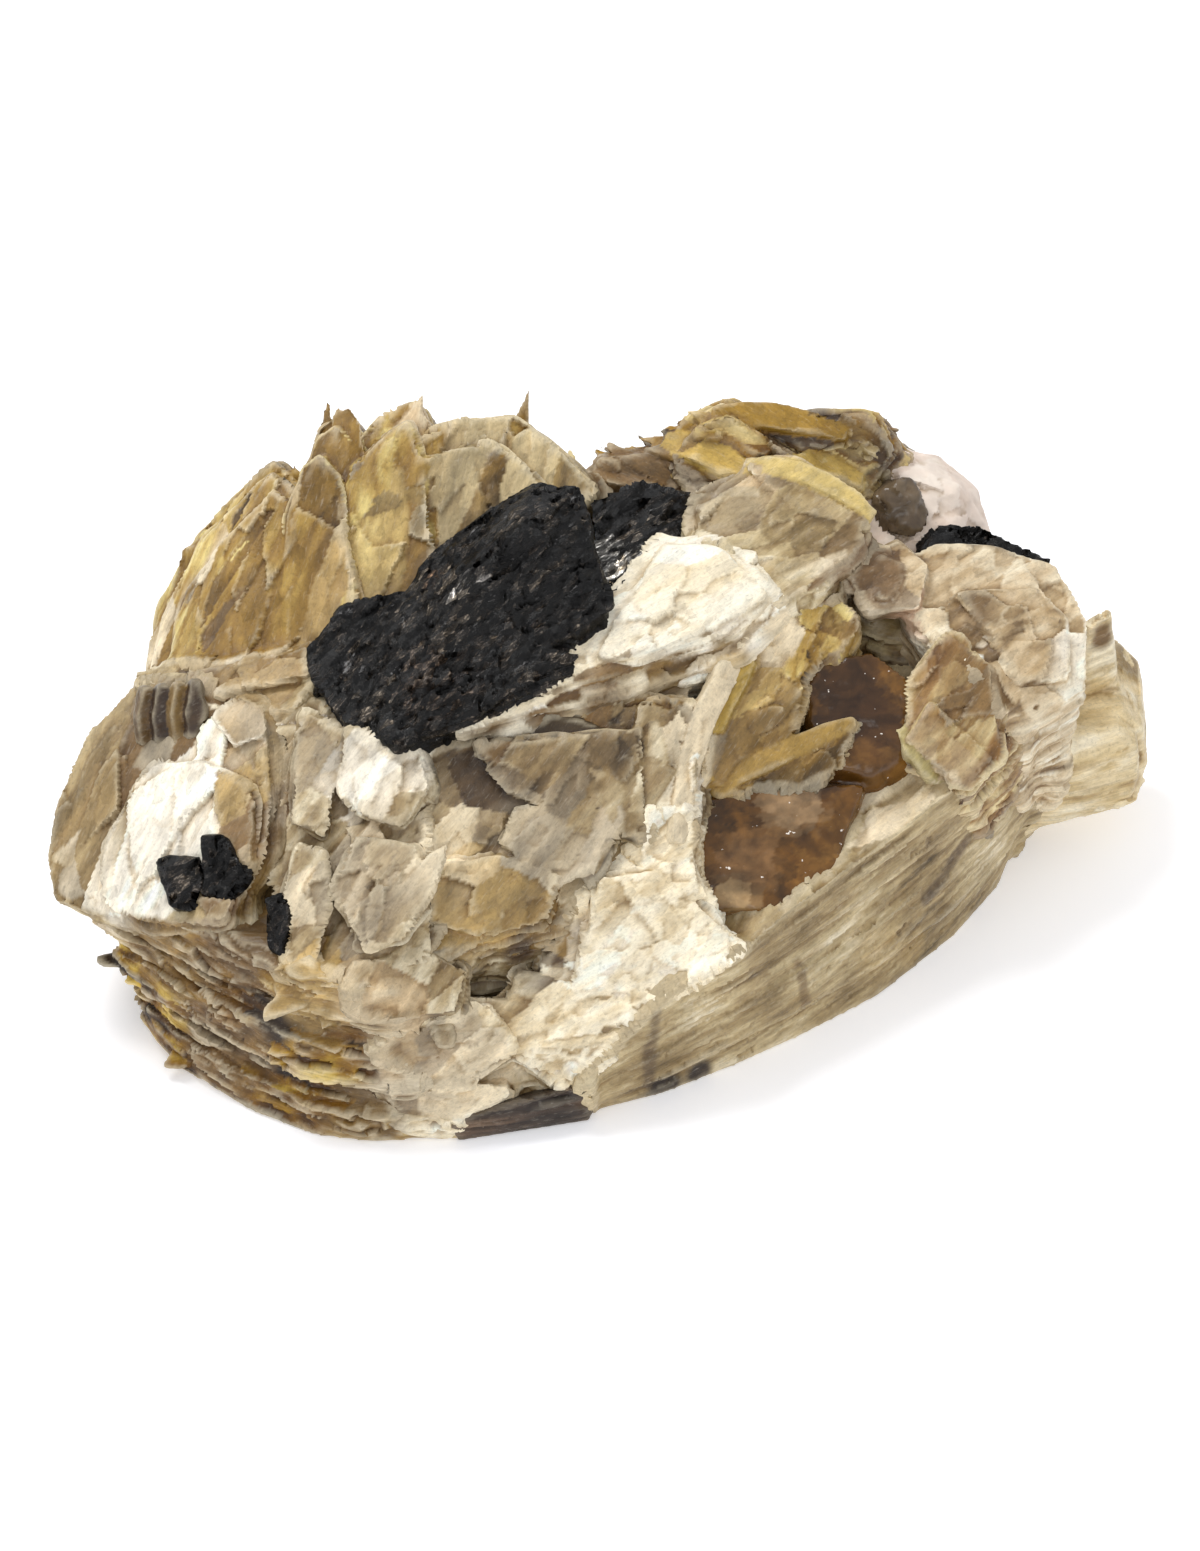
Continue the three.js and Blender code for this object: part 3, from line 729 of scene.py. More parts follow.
@dataclass
class Piece:
    """One crystal or book: a CAD node's copy, split along its grain and painted."""

    name: str
    slot: str
    grain: Grain
    palette: tuple[str, ...]
    voxel: Voxel = Voxel.MEDIUM
    seed: int = 1
    mottle: float = 1.0
    spots: tuple[Spot, ...] = ()
    strips: tuple[Strip, ...] = ()
    # how strongly the thin rims take their painted highlight
    rims: float = 1.0
    finish: Finish = MicaFinish()

    def build(self) -> bpy.types.Object:
        """Makes the piece and hands it to the frame.

        Returns:
            The finished object.
        """
        piece = self.solid_copy()
        leaves = self.scatter(piece.data)
        for strip in self.strips:
            leaves.lay(strip)
        tree = self.join_leaves(piece, leaves)
        self.remesh(piece)
        self.split(piece, leaves, tree)
        self.round_off(piece)
        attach(piece, "root")
        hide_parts(self.name)
        return piece

    def solid_copy(self) -> bpy.types.Object:
        """A closed copy of the CAD node, with its loose triangles merged."""
        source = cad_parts[self.name]
        piece = bpy.data.objects.new(f"{self.name}_look", source.data.copy())
        piece.data.materials.clear()
        bpy.context.scene.collection.objects.link(piece)
        deselect()
        piece.select_set(True)
        bpy.context.view_layer.objects.active = piece
        bpy.ops.object.mode_set(mode="EDIT")
        bpy.ops.mesh.select_all(action="SELECT")
        bpy.ops.mesh.remove_doubles(threshold=1e-6)
        bpy.ops.object.mode_set(mode="OBJECT")
        return piece

    def scatter(self, mesh: bpy.types.Mesh) -> Leaves:
        """Lays loose leaves over the solid, all near its cleavage, and none below the ground.

        Args:
            mesh: the merged copy.

        Returns:
            The leaves.
        """
        leaves = Leaves()
        flakes = self.grain.flakes
        if flakes is None:
            return leaves
        draw = np.random.default_rng(self.seed)
        mesh.calc_loop_triangles()
        corners = np.array([v.co for v in mesh.vertices]) / MM
        triangles = corners[np.array([t.vertices for t in mesh.loop_triangles])]
        crossed = np.cross(triangles[:, 1] - triangles[:, 0], triangles[:, 2] - triangles[:, 0])
        area = np.linalg.norm(crossed, axis=1) / 2
        outward = crossed / np.maximum(2 * area[:, None], 1e-9)
        low, high = (np.array(corner) / MM for corner in CAD_BOX)
        solid = BVHTree.FromPolygons([tuple(c) for c in corners], [tuple(p.vertices) for p in mesh.polygons])
        grain = self.grain.axes()
        for pick in draw.choice(len(area), int(area.sum() / flakes.every), p=area / area.sum()):
            share = draw.dirichlet((1, 1, 1))
            place = share @ triangles[pick]
            axes = self.leaning(grain, draw)
            size = draw.lognormal(0, 0.35)
            count = draw.integers(9, 15)
            turn = (np.arange(count) + draw.uniform(-0.35, 0.35, count)) * 2 * math.pi / count
            reach = draw.uniform(0.78, 1.12, count) * size / 2
            reach = reach * (1 + 0.22 * np.cos(3 * turn + draw.uniform(0, 6)))
            ring = np.stack([np.cos(turn) * flakes.long, np.sin(turn) * flakes.wide], 1) * reach[:, None]
            normal = outward[pick]
            across = (ring @ axes[:2]) @ normal
            support = across.max() + flakes.thick / 2 * abs(axes[2] @ normal)
            proud = draw.uniform(*flakes.proud)
            middle = place + normal * (proud - support)
            ring = self.trimmed(ring, middle, axes, solid, proud + flakes.over)
            span = middle + ring @ axes[:2]
            clear = all(np.linalg.norm(span - spot, axis=1).min() > radius for spot, radius in CHIP_ROOM)
            clear = clear and held(solid, middle, 0.15)
            if clear and span[:, 2].min() > GROUND_GAP and (span > low - BOX_SLACK).all() and (
                span < high + BOX_SLACK
            ).all():
                leaves.add(ring, middle, axes, flakes.thick * draw.uniform(0.85, 1.3))
        return leaves

    @staticmethod
    def trimmed(ring: Array, middle: Array, axes: Array, solid: BVHTree, reach: float) -> Array:
        """Breaks a leaf's corners back to where they no longer hang far out of the solid.

        Args:
            ring: the leaf's outline on the first two axes.
            middle: its middle.
            axes: its own axes as rows.
            solid: the book that it lies on.
            reach: how far out a corner may be, in millimetres.

        Returns:
            The new outline.
        """
        kept = np.ones(len(ring))
        for k, corner in enumerate(ring):
            for share in BREAKS:
                kept[k] = share
                if held(solid, middle + corner * share @ axes[:2], reach):
                    break
        for _ in range(3):
            kept = np.minimum(kept, CORNER_RATIO * np.minimum(np.roll(kept, 1), np.roll(kept, -1)))
        return ring * kept[:, None]

    def leaning(self, grain: Array, draw: np.random.Generator) -> Array:
        """One leaf's axes: the grain's, swung round and tipped a little."""
        flakes = self.grain.flakes
        swing = draw.normal(0, flakes.turn)
        along = grain[0] * math.cos(swing) + grain[1] * math.sin(swing)
        through = grain[2] + grain[0] * draw.normal(0, flakes.lean) + grain[1] * draw.normal(0, flakes.lean)
        through = through / np.linalg.norm(through)
        along = along - through * (along @ through)
        along = along / np.linalg.norm(along)
        return np.stack([along, np.cross(through, along), through])

    def join_leaves(self, piece: bpy.types.Object, leaves: Leaves) -> tuple[BVHTree, Array]:
        """Adds the leaves to the solid's mesh.

        Args:
            piece: the merged copy, whose mesh is replaced.
            leaves: the leaves to add.

        Returns:
            A tree for finding the nearest face, and each face's leaf number, or -1.
        """
        mesh = piece.data
        corners = [tuple(v.co / MM) for v in mesh.vertices]
        faces = [tuple(p.vertices) for p in mesh.polygons]
        owner = [-1] * len(faces) + leaves.owner
        faces += [tuple(k + len(corners) for k in f) for f in leaves.faces]
        corners += leaves.corners
        tree = BVHTree.FromPolygons(corners, faces)
        joined = bpy.data.meshes.new(piece.name)
        joined.from_pydata([tuple(v * MM for v in c) for c in corners], [], faces)
        piece.data = joined
        return tree, np.array(owner)

    def remesh(self, piece: bpy.types.Object) -> None:
        """Fuses the solid and its leaves into one even skin."""
        deselect()
        piece.select_set(True)
        bpy.context.view_layer.objects.active = piece
        remesh = piece.modifiers.new("even", "REMESH")
        remesh.mode = "VOXEL"
        remesh.voxel_size = self.voxel.value * MM
        bpy.ops.object.modifier_apply(modifier=remesh.name)

    def split(self, piece: bpy.types.Object, leaves: Leaves, found: tuple[BVHTree, Array]) -> None:
        """Breaks the surface into leaves and plates, and paints each one.

        Args:
            piece: the evenly meshed copy, which is changed.
            leaves: its loose leaves.
            found: the tree and leaf numbers that join_leaves gives.
        """
        mesh = piece.data
        raw, outward = read_vectors(mesh, "co") / MM, read_vectors(mesh, "normal")
        places = (relaxed(mesh, raw, 1) + relaxed(mesh, raw, 2)) / 2
        tree, owner = found
        nearest = [tree.find_nearest(p)[2] for p in places]
        leaf_of = owner[np.array(nearest)]
        loose = leaf_of >= 0
        swell = np.where(loose, 0.0, self.grain.grow) + self.weld(mesh, places, outward)
        places = places + outward * swell[:, None]
        axes = self.grain.axes()
        local = places @ axes.T
        through = np.broadcast_to(axes[2], (len(places), 3)).copy()
        middle = places.copy()
        if leaves.middles:
            through[loose] = np.array(leaves.through)[leaf_of[loose]]
            middle[loose] = np.array(leaves.middles)[leaf_of[loose]]
        lean = outward @ axes.T
        facing = np.abs((outward * through).sum(1))
        face = np.clip((facing - 0.5) / 0.35, 0, 1)
        drop, shade, snapped = self.face_steps(local, face, np.where(loose, 0.35, 1.0))
        jut, edge_shade = self.edge_juts(local, loose)
        rim = lean.copy()
        rim[:, 2] = 0
        rim /= np.maximum(np.linalg.norm(rim, axis=1, keepdims=True), 1e-6)
        moved = local + rim * (jut * (1 - face) * np.clip((0.96 - facing) / 0.2, 0, 1))[:, None]
        moved[:, 2] -= np.sign(lean[:, 2]) * drop * face
        moved += lean * (rough_noise(local / 2.2, self.seed + 41) * self.grain.crumple)[:, None]
        shade = np.where(face > 0.5, shade, edge_shade * np.where(loose, 0.5, 1))
        if leaves.middles:
            own = np.random.default_rng(self.seed + 1).normal(0, 0.32, len(leaves.middles))
            shade[loose] += own[leaf_of[loose]]
        shape = moved @ axes
        # the underside stays flat
        near_ground = np.clip(places[:, 2] / 1.2, 0, 1)[:, None]
        shape = places + (shape - places) * near_ground
        shape[:, 2] = np.maximum(shape[:, 2], 0)
        mesh.vertices.foreach_set("co", (shape * MM).astype(np.float32).ravel())
        mesh.update()
        seen_at = np.where(loose[:, None], middle * 0.6 + places * 0.4, snapped @ axes)
        own = np.array([linear(code) if code else (-1, -1, -1) for code in [*leaves.colours, ""]])[leaf_of]
        self.paint(mesh, local, seen_at, shade, face, own)

    def face_steps(self, local: Array, face: Array, body: Array) -> tuple[Array, Array, Array]:
        """Breaks the faces into plates, each a little lower than the last and leaning its own way.

        Args:
            local: places along the grain, in millimetres.
            face: 1 on a leaf's face and 0 at its edge.
            body: how strongly each place is broken.

        Returns:
            How far each place drops, how light it is, and the place that it takes its
            colour from, which is its plate's middle.
        """
        grain, count = self.grain, len(local)
        wander = np.stack([noise(local / 3.0, self.seed + 5), noise(local / 3.0, self.seed + 6)], 1)
        size = np.array(grain.plate)
        drop, shade, snapped = np.zeros(count), np.zeros(count), local.copy()
        for level, (share, keep) in enumerate([(1.0, 0.55), (0.45, 0.5)]):
            flat = (local[:, :2] + wander * 0.8 * share) / (size * share)
            cell, offset = plates(np.column_stack([flat, np.full(count, level)]), self.seed + 31 * level)
            lost = (hashed(cell, self.seed + 2) < keep) * hashed(cell, self.seed + 3)
            slope = np.stack([hashed(cell, self.seed + 7), hashed(cell, self.seed + 8)], 1) - 0.5
            tilt = (offset * size * share * slope).sum(1) * 2 * grain.tilt
            drop += (lost * grain.step * (1.4, 0.6)[level] + tilt) * body
            shade += (hashed(cell, self.seed + 11) - 0.5) * (0.45, 0.3)[level] * body
            if level == 0:
                snapped[:, :2] -= (offset * size * share) * face[:, None]
        return drop, shade, snapped

    def edge_juts(self, local: Array, loose: Array) -> tuple[Array, Array]:
        """Lets the leaves at the edges jut out, each by its own amount.

        Args:
            local: places along the grain, in millimetres.
            loose: whether each place is on a loose leaf, which has no juts.

        Returns:
            How far each place juts, and how light it is.
        """
        grain = self.grain
        stack = local[:, 2] / grain.leaf
        uneven = noise(np.column_stack([stack * 0, stack * 0, stack / 2.6]), self.seed + 20)
        level = np.floor(stack + 0.8 * uneven + 0.5 * noise(local / 9.0, self.seed + 21))
        along = np.column_stack([local[:, :2] / grain.run, level * 5.0])
        ones = np.column_stack([level, level * 0, level * 0])
        jut = noise(along, self.seed + 22) + 0.8 * (hashed(ones, self.seed) - 0.5)
        fine_level = np.floor(local[:, 2] / (grain.leaf * 0.45))
        fine = noise(np.column_stack([local[:, :2] / 2.0, fine_level * 5.0]), self.seed + 23)
        jut = (jut + fine * 0.4) * grain.ragged * np.where(loose, 0.0, 1.0)
        return jut, 0.6 * (hashed(ones, self.seed + 51) - 0.5) + 0.25 * fine

    def weld(self, mesh: bpy.types.Mesh, places: Array, outward: Array) -> Array:
        """How far each vertex swells, so that books close up where they meet in a groove.

        Args:
            mesh: the piece's mesh, whose edges join the vertices.
            places: its vertices, in millimetres.
            outward: their normals.

        Returns:
            One distance a vertex.
        """
        others = neighbours(self.name)
        swell = np.zeros((len(places), 1))
        if self.grain.weld > 0:
            for k, place in enumerate(places):
                foot, _, _, distance = others.find_nearest(place, WELD_REACH)
                if foot is not None and distance > 1e-4:
                    toward = (np.array(foot) - place) @ outward[k] / distance
                    swell[k] = self.grain.weld * max(toward, 0) * math.exp(-((distance / WELD_FADE) ** 2))
        return relaxed(mesh, swell, WELD_ROUNDS)[:, 0]

    def paint(
        self, mesh: bpy.types.Mesh, local: Array, seen_at: Array, shade: Array, face: Array, own: Array
    ) -> None:
        """Stores each vertex's leaf place, edge share and colour on the mesh, the colour with painted shade
        and highlights in it.

        Args:
            mesh: the piece's mesh.
            local: places along the grain, in millimetres.
            seen_at: places at which the spots of colour are read, so that a leaf is one colour.
            shade: how light each leaf is, about -0.7 to 0.7.
            face: 1 on a leaf's face and 0 at its edge.
            own: the leaf's own colour where it has one, or -1.
        """
        colours = np.array([linear(code) for code in self.palette])
        # silky veins run with the grain, over slow clouds
        bend = local + 1.6 * noise(local / 6.0, self.seed + 65)[:, None]
        vein = rough_noise(bend * np.array([0.14, 0.9, 0.6]), self.seed + 63, 4)
        cloud = rough_noise(seen_at / 8.0, self.seed + 61)
        pick = np.clip(0.5 + (shade + vein * 0.38) * self.mottle + cloud * 0.5, 0, 0.999) * (len(colours) - 1)
        low = np.floor(pick).astype(int)
        part = (pick - low)[:, None]
        tint = colours[low] * (1 - part) + colours[low + 1] * part
        warp = noise(seen_at / 3.0, self.seed + 71)
        for spot in self.spots:
            away = np.linalg.norm(seen_at - np.array(spot.at), axis=1) / spot.radius
            weight = np.clip((1.3 + 0.4 * warp - away) / 0.6, 0, 1) * spot.strength
            target = np.array(linear(spot.colour)) * np.exp(shade * 0.4 + vein * 0.45)[:, None]
            tint = tint * (1 - weight[:, None]) + target * weight[:, None]
        tint = np.where(own >= 0, own * np.exp(vein * 0.35)[:, None], tint)
        # painted shade darkens the hollows, and a painted highlight lightens the thin rims
        depth = self.hollow(mesh)
        tint = tint * np.exp(-np.clip(depth, 0, 1.0)[:, None] * np.array(HOLLOW_SHADE))
        rim = np.clip(-depth * 1.1 - 0.12, 0, 0.3)[:, None] * self.rims
        tint = tint * (1 - rim) + np.array(linear(RIM_LIGHT)) * rim
        rgba = np.column_stack([np.clip(tint, 0, 0.9), np.ones(len(tint))]).astype(np.float32)
        mesh.attributes.new("tint", "FLOAT_COLOR", "POINT").data.foreach_set("color", rgba.ravel())
        mesh.attributes.new("leaf", "FLOAT_VECTOR", "POINT").data.foreach_set(
            "vector", local.astype(np.float32).ravel()
        )
        mesh.attributes.new("edge", "FLOAT", "POINT").data.foreach_set("value", (1 - face).astype(np.float32))

    @staticmethod
    def hollow(mesh: bpy.types.Mesh) -> Array:
        """How far each vertex lies below its surroundings, in millimetres."""
        places, outward = read_vectors(mesh, "co") / MM, read_vectors(mesh, "normal")
        around = relaxed(mesh, places, 9)
        return ((around - places) * outward).sum(1) * 2.2

    def round_off(self, piece: bpy.types.Object) -> None:
        """Smooths the shading between sharp breaks, and gives the piece its finish."""
        deselect()
        piece.select_set(True)
        bpy.context.view_layer.objects.active = piece
        bpy.ops.object.shade_smooth_by_angle(angle=SMOOTH_ANGLE)
        piece.data.materials.append(bpy.data.materials.get(self.finish.name) or self.finish.material())


# ---------------------------------------------------------------- the specimen

# each book's colours, from its darkest leaf to its lightest
GOLD = ("#2a1903", "#553607", "#7a540a", "#9b7416", "#ccac44")
OLIVE = ("#483410", "#70531c", "#8f6e2d", "#ac8d47", "#d8c37c")
GREY = ("#43341e", "#6e5939", "#8f7953", "#ae9a74", "#dacdae")
BEIGE = ("#574525", "#836d45", "#a79167", "#c5b288", "#eaddbf")
DOME = ("#7a6140", "#b0966e", "#d0ba96", "#e6d7b8", "#f6eed9")
RESIN = ("#3d2812", "#65441f", "#8a6636", "#a88a58", "#d5c190")
CHALK = ("#c5af86", "#e4d4b2", "#f5ebd3", "#fbf4e4", "#fdf8ee")
EARTH = ("#3d2d15", "#6b5430", "#8e7647", "#ad9768", "#d6c79c")
BUFF = ("#8a7143", "#b59a69", "#cfb888", "#e2cfa6", "#f2e6c8")
CREAM = ("#a78e64", "#d0bb93", "#ebdcbb", "#f7ebd0", "#fdf6e6")
BIOTITE = ("#271c14", "#443325", "#6a533f")
SMOKE = ("#36230b", "#634117", "#8a622c")
SLATE = ("#42352a", "#77664f")
SHELL = ("#cfb8a4", "#dfcdbd", "#ebdecf")
BLACK = ("#040303", "#070605", "#0d0b09", "#161310", "#231f1a")

# the colours of patches that stand out from their book
WHITE, PALE, SAND, STRAW = "#f7eedb", "#d6c5a5", "#b8a17d", "#ccb57a"
SILVER, GREIGE, HONEY, OCHRE = "#a99b82", "#94836a", "#a68a55", "#866a3a"
AMBER, RUST, UMBER, PEAT = "#755a34", "#663f22", "#54402a", "#372a1d"

# patches of colour on the mica, by the book that they lie on
MICA_SPOTS = (
    # the left book: tan rim, grey strip, bright band, amber side, rust under the chips
    Spot((-52.5, -9, 20), 6.5, "#8a734a"),
    Spot((-46, -7, 25), 3.6, SILVER),
    Spot((-49, -15, 19), 3.5, SILVER),
    Spot((-37, -6.5, 29), 3.6, WHITE),
    Spot((-40, -10.5, 27), 4.2, WHITE),
    Spot((-43.5, -15.5, 22), 4.6, WHITE),
    Spot((-47, -19, 17), 3.6, WHITE),
    Spot((-34.5, -12, 27), 2.8, HONEY),
    Spot((-34.5, -17, 24), 3.2, AMBER),
    Spot((-35.5, -21.5, 21), 3.2, OCHRE),
    Spot((-38.5, -23, 20.5), 2.6, RUST),
    # the ledge and its dark knot
    Spot((-34, -1, 32), 6.0, "#a98f63"),
    Spot((-43.5, -2, 28.5), 2.6, AMBER),
    # the fan: honey and umber leaves
    Spot((-43, -22, 14), 5.0, OCHRE),
    Spot((-36.5, -26, 16), 4.0, AMBER),
    Spot((-29, -30, 13.5), 4.5, HONEY),
    Spot((-32, -29.5, 10.5), 2.2, PEAT),
    Spot((-38, -27, 6), 5.0, AMBER),
    Spot((-24, -33.5, 3.5), 4.0, OCHRE),
    # left of the middle: grey plates, one bright plate, one smooth silver plate
    Spot((-28.5, -12, 29), 5, "#9f8d6e"),
    Spot((-22, -13.5, 29.5), 4.0, WHITE),
    Spot((-31, -14, 26), 2.6, GREIGE),
    Spot((-30, -24, 22), 3.2, PALE),
    Spot((-23.5, -23, 24), 4.6, "#a39378"),
    Spot((-29, -30, 15.5), 4.0, HONEY),
    Spot((-22, -31, 15), 4.0, SAND),
    # the middle: a dark band and groove, a grey flake, and a honey hollow with a dark slit
    Spot((-11.5, -9, 33), 2.6, AMBER),
    Spot((-6, -7, 33), 2.8, AMBER),
    Spot((0, -5.5, 32.5), 3.0, AMBER),
    Spot((6, -3.5, 32), 3.0, OCHRE),
    Spot((12, 0.5, 31.5), 2.6, AMBER),
    Spot((-13, -12, 29.5), 3.2, UMBER, 0.7),
    Spot((-8.5, -14, 28.5), 3.0, UMBER, 0.7),
    Spot((-4.5, -18, 25), 4.6, SILVER),
    Spot((-16, -21, 23.5), 3.4, PALE),
    Spot((-10.5, -24, 20.5), 4.6, HONEY),
    Spot((-6, -24, 17.5), 3.4, OCHRE),
    Spot((-7.5, -25, 15.5), 2.2, UMBER),
    # the pale rim right of the middle
    Spot((16.5, 4.5, 33.5), 2.4, PALE),
    Spot((12.5, -1, 31), 2.2, PALE),
    Spot((8.5, -8, 29), 2.6, PALE),
    Spot((7.5, -12, 26), 2.6, WHITE),
    # the crumpled cream leaves and the greyer ones below them
    Spot((-18, -33, 8), 5.5, GREIGE),
    Spot((-20, -32.5, 11), 3.0, SAND),
    Spot((-13, -33, 6), 4.0, PALE),
    # the crest: pale streaks, an orange-brown foot, brown lower edge, speckled right end
    Spot((-24, 8, 39), 5.0, STRAW, 0.5),
    Spot((-21.5, 5, 37), 4.0, OCHRE),
    Spot((-26, 4, 35.5), 3.0, HONEY),
    Spot((-32, 3.5, 33.5), 3.6, OCHRE),
    Spot((-39, 4, 32), 4.0, AMBER, 0.7),
    Spot((-46, 7.5, 27), 3.0, PALE),
    Spot((-45, 10, 31), 2.4, PALE),
    Spot((-41, 12, 36), 2.4, PALE),
    Spot((-7.5, 17, 43), 8.0, "#bfab80"),
    Spot((-20, 21.5, 46), 3.0, SAND),
    # the crown: amber lobe, dark hollow
    Spot((2.5, 21.5, 39.5), 4.6, AMBER),
    Spot((10, 22, 42), 3.0, OCHRE),
    Spot((21, 24.5, 40.5), 4.6, UMBER),
    Spot((26.5, 25, 38.5), 3.0, UMBER),
    Spot((10.5, 26, 44), 3.0, STRAW),
    # the plate above the terrace: greige, with olive strips behind
    Spot((11, 17, 39.5), 4.0, GREIGE),
    Spot((24, 23, 38.5), 3.6, STRAW),
    Spot((18, 19, 40), 3.6, SAND),
    # the dome: brown patch, a white fleck, pale rim
    Spot((27, 11, 34), 5.0, "#6d5130", 0.9),
    Spot((31.5, 9, 31.5), 2.6, "#c3a083", 0.8),
    Spot((36, 7.5, 29.5), 1.8, WHITE),
    Spot((48.5, 11, 26), 2.6, WHITE, 0.8),
    Spot((43, 5, 25.5), 1.6, AMBER),
    # the hollow: golden leaves, a peat-dark vein, pale crumbs
    Spot((13.5, -1, 30), 4.5, HONEY, 0.7),
    Spot((16, -5, 26.5), 3.6, OCHRE),
    Spot((22, 1, 27.5), 3.0, AMBER),
    Spot((26, 0, 26.5), 3.6, PEAT),
    Spot((28.5, 4, 29), 2.4, PEAT),
    Spot((36.5, 1, 26), 3.0, AMBER),
    Spot((33, -3, 22), 3.0, PALE, 0.7),
    Spot((27.5, -6, 19), 2.8, PALE),
    # the side: dark slots, honey stains
    *(Spot((4.8 - 0.08 * k, -28.5 - 0.1 * k, 11 - 1.1 * k), 0.8, UMBER, 0.6) for k in range(9)),
    *(Spot((19.3 + 0.1 * k, -19.5, 9.5 - 0.8 * k), 0.6, AMBER, 0.6) for k in range(8)),
    *(Spot((36.5 - 0.57 * k, -2.5 - 0.78 * k, 11 - 0.43 * k), 0.8, UMBER, 0.7) for k in range(8)),
    Spot((27.5, -13, 5.5), 3.4, HONEY, 0.5),
    Spot((31, -9.5, 3), 2.0, HONEY, 0.5),
    Spot((6, -28.5, 0.8), 1.8, PEAT),
    Spot((9.5, -26.4, 0.8), 1.6, PEAT),
    # the right block: a dark knot on its spur
    Spot((50.5, 17, 22), 1.6, AMBER),
)

# the quartz's dark vein, and its paler upper and lower rims
QUARTZ_SPOTS = (
    Spot((24, 0.5, 27), 4.4, "#3a2513", 0.9),
    Spot((27, -2, 24.5), 3.6, "#3f2814", 0.9),
    Spot((21, -6, 23), 2.4, "#412a17"),
    Spot((14.5, -15, 19), 3.0, "#7a5a38", 0.7),
    Spot((18.5, -9.5, 21), 2.6, "#a98c68", 0.6),
    Spot((13, -19, 17.5), 2.0, "#a58a63", 0.7),
)

# nothing welds to these, which perch on a book
PERCHED = ("schorl_chip_left", "schorl_chip_middle", "schorl_chip_right", "quartz_knob")
# loose leaves keep clear of the chips: each chip's middle and radius
CHIP_ROOM = (
    (np.array((-42, -20.5, 20.5)), 3.2),
    (np.array((-37, -20.5, 21.5)), 3.4),
    (np.array((-32, -25.0, 19.5)), 3.0),
)

# brown patches on the schorl, and silvery patches of painted glare
SCHORL_SPOTS = (
    Spot((-16.5, -7.5, 35.5), 3.4, "#1c1611", 0.6),
    Spot((-14, -0.5, 41.5), 1.6, "#8d8a86", 0.7),
    Spot((-17.5, 2.5, 40), 0.9, "#33261b", 0.6),
    Spot((0.5, 8.5, 38), 2.2, "#a9a6a0", 0.8),
    Spot((4, 7.5, 37.5), 1.8, "#8f8c86", 0.7),
)

# the pale leaf that curls down the right of the middle
RIM_STRIPS = (
    Strip(
        (
            (18, 6.5, 33),
            (14.4, 2.5, 32),
            (11.5, -1.5, 30.8),
            (9.6, -5.6, 29.6),
            (8.2, -9.6, 27.6),
            (7.4, -13.6, 25.2),
            (7, -17, 22.8),
        ),
        width=2.6,
        face=(0.5, -0.5, 0.7),
        colour=PALE,
        thick=1.6,
    ),
)
# golden ribbons along the crown
CROWN_STRIPS = (
    Strip(
        ((6, 24, 41.3), (7.4, 23.2, 41.6), (9.5, 21.7, 42), (12, 21, 41.1), (14, 20.2, 40.6)),
        width=3.0,
        face=(0, -0.5, 0.85),
        colour="#b8994c",
        thick=1.1,
    ),
    Strip(
        ((11, 25, 44), (14, 25.3, 43.8), (17, 25.5, 43.3), (20.5, 25.5, 42.4), (24.5, 25.4, 41)),
        width=2.8,
        face=(0, -0.5, 0.85),
        colour="#947226",
        thick=1.1,
    ),
    Strip(
        ((18.5, 21, 40.8), (21, 23.2, 39), (23.5, 23.6, 37.9), (26, 23.2, 36.4)),
        width=2.6,
        face=(0, -0.5, 0.85),
        colour="#b3964d",
        thick=1.2,
    ),
)
# the straw-coloured rim of the top plate
PLATE_STRIPS = (
    Strip(
        (
            (14, 20, 40.6),
            (16.5, 19.5, 41.5),
            (19.5, 19, 41.1),
            (22, 18, 40.6),
            (25, 16.5, 39.5),
            (27, 15.4, 38.2),
        ),
        width=2.4,
        face=(0.1, -0.3, 0.95),
        colour="#c9b06c",
        thick=1.0,
    ),
)
# an olive ribbon between the quartz and the dark vein, and one above it
HOLLOW_STRIPS = (
    Strip(
        (
            (11, -9.5, 22.6),
            (13, -8, 24),
            (16, -6.4, 24.7),
            (19, -4.5, 24.9),
            (22, -2.6, 25.1),
            (25, -1.5, 25.6),
        ),
        width=2.2,
        face=(0, -0.6, 0.8),
        colour="#96783a",
        thick=1.1,
    ),
    Strip(
        ((11, -5.5, 27.6), (11.6, -3.5, 29), (13, -1, 30.5), (14.5, 1, 31.5)),
        width=2.4,
        face=(0, -0.6, 0.8),
        colour="#a88a3c",
        thick=0.9,
    ),
)
# a small pale curl on the hollow's right
CURL_STRIPS = (
    Strip(
        ((29.5, -1, 24.2), (30.5, -2.8, 23.1), (32, -3.5, 21.6), (33.5, -3.2, 19.8), (35.5, -3.4, 18.2)),
        width=1.7,
        face=(0, -0.6, 0.8),
        colour="#b0a068",
        thick=1.0,
    ),
)
# the dark knot of leaves on the ledge
KNOT_STRIPS = tuple(
    Strip(
        (
            (-45.6 + 1.7 * k, -1.8 - 0.4 * k, 30.4 + 0.6 * k),
            (-45.8 + 1.7 * k, -3.6 - 0.4 * k, 28 + 0.5 * k),
            (-45.9 + 1.7 * k, -4.6 - 0.3 * k, 25.2 + 0.5 * k),
        ),
        width=1.9,
        face=(0.5 - 0.3 * (k % 2), -0.8, 0.5),
        colour=colour,
        thick=1.4,
    )
    for k, colour in enumerate(("#5d4727", "#39291a", "#7a6136", "#413020"))
)


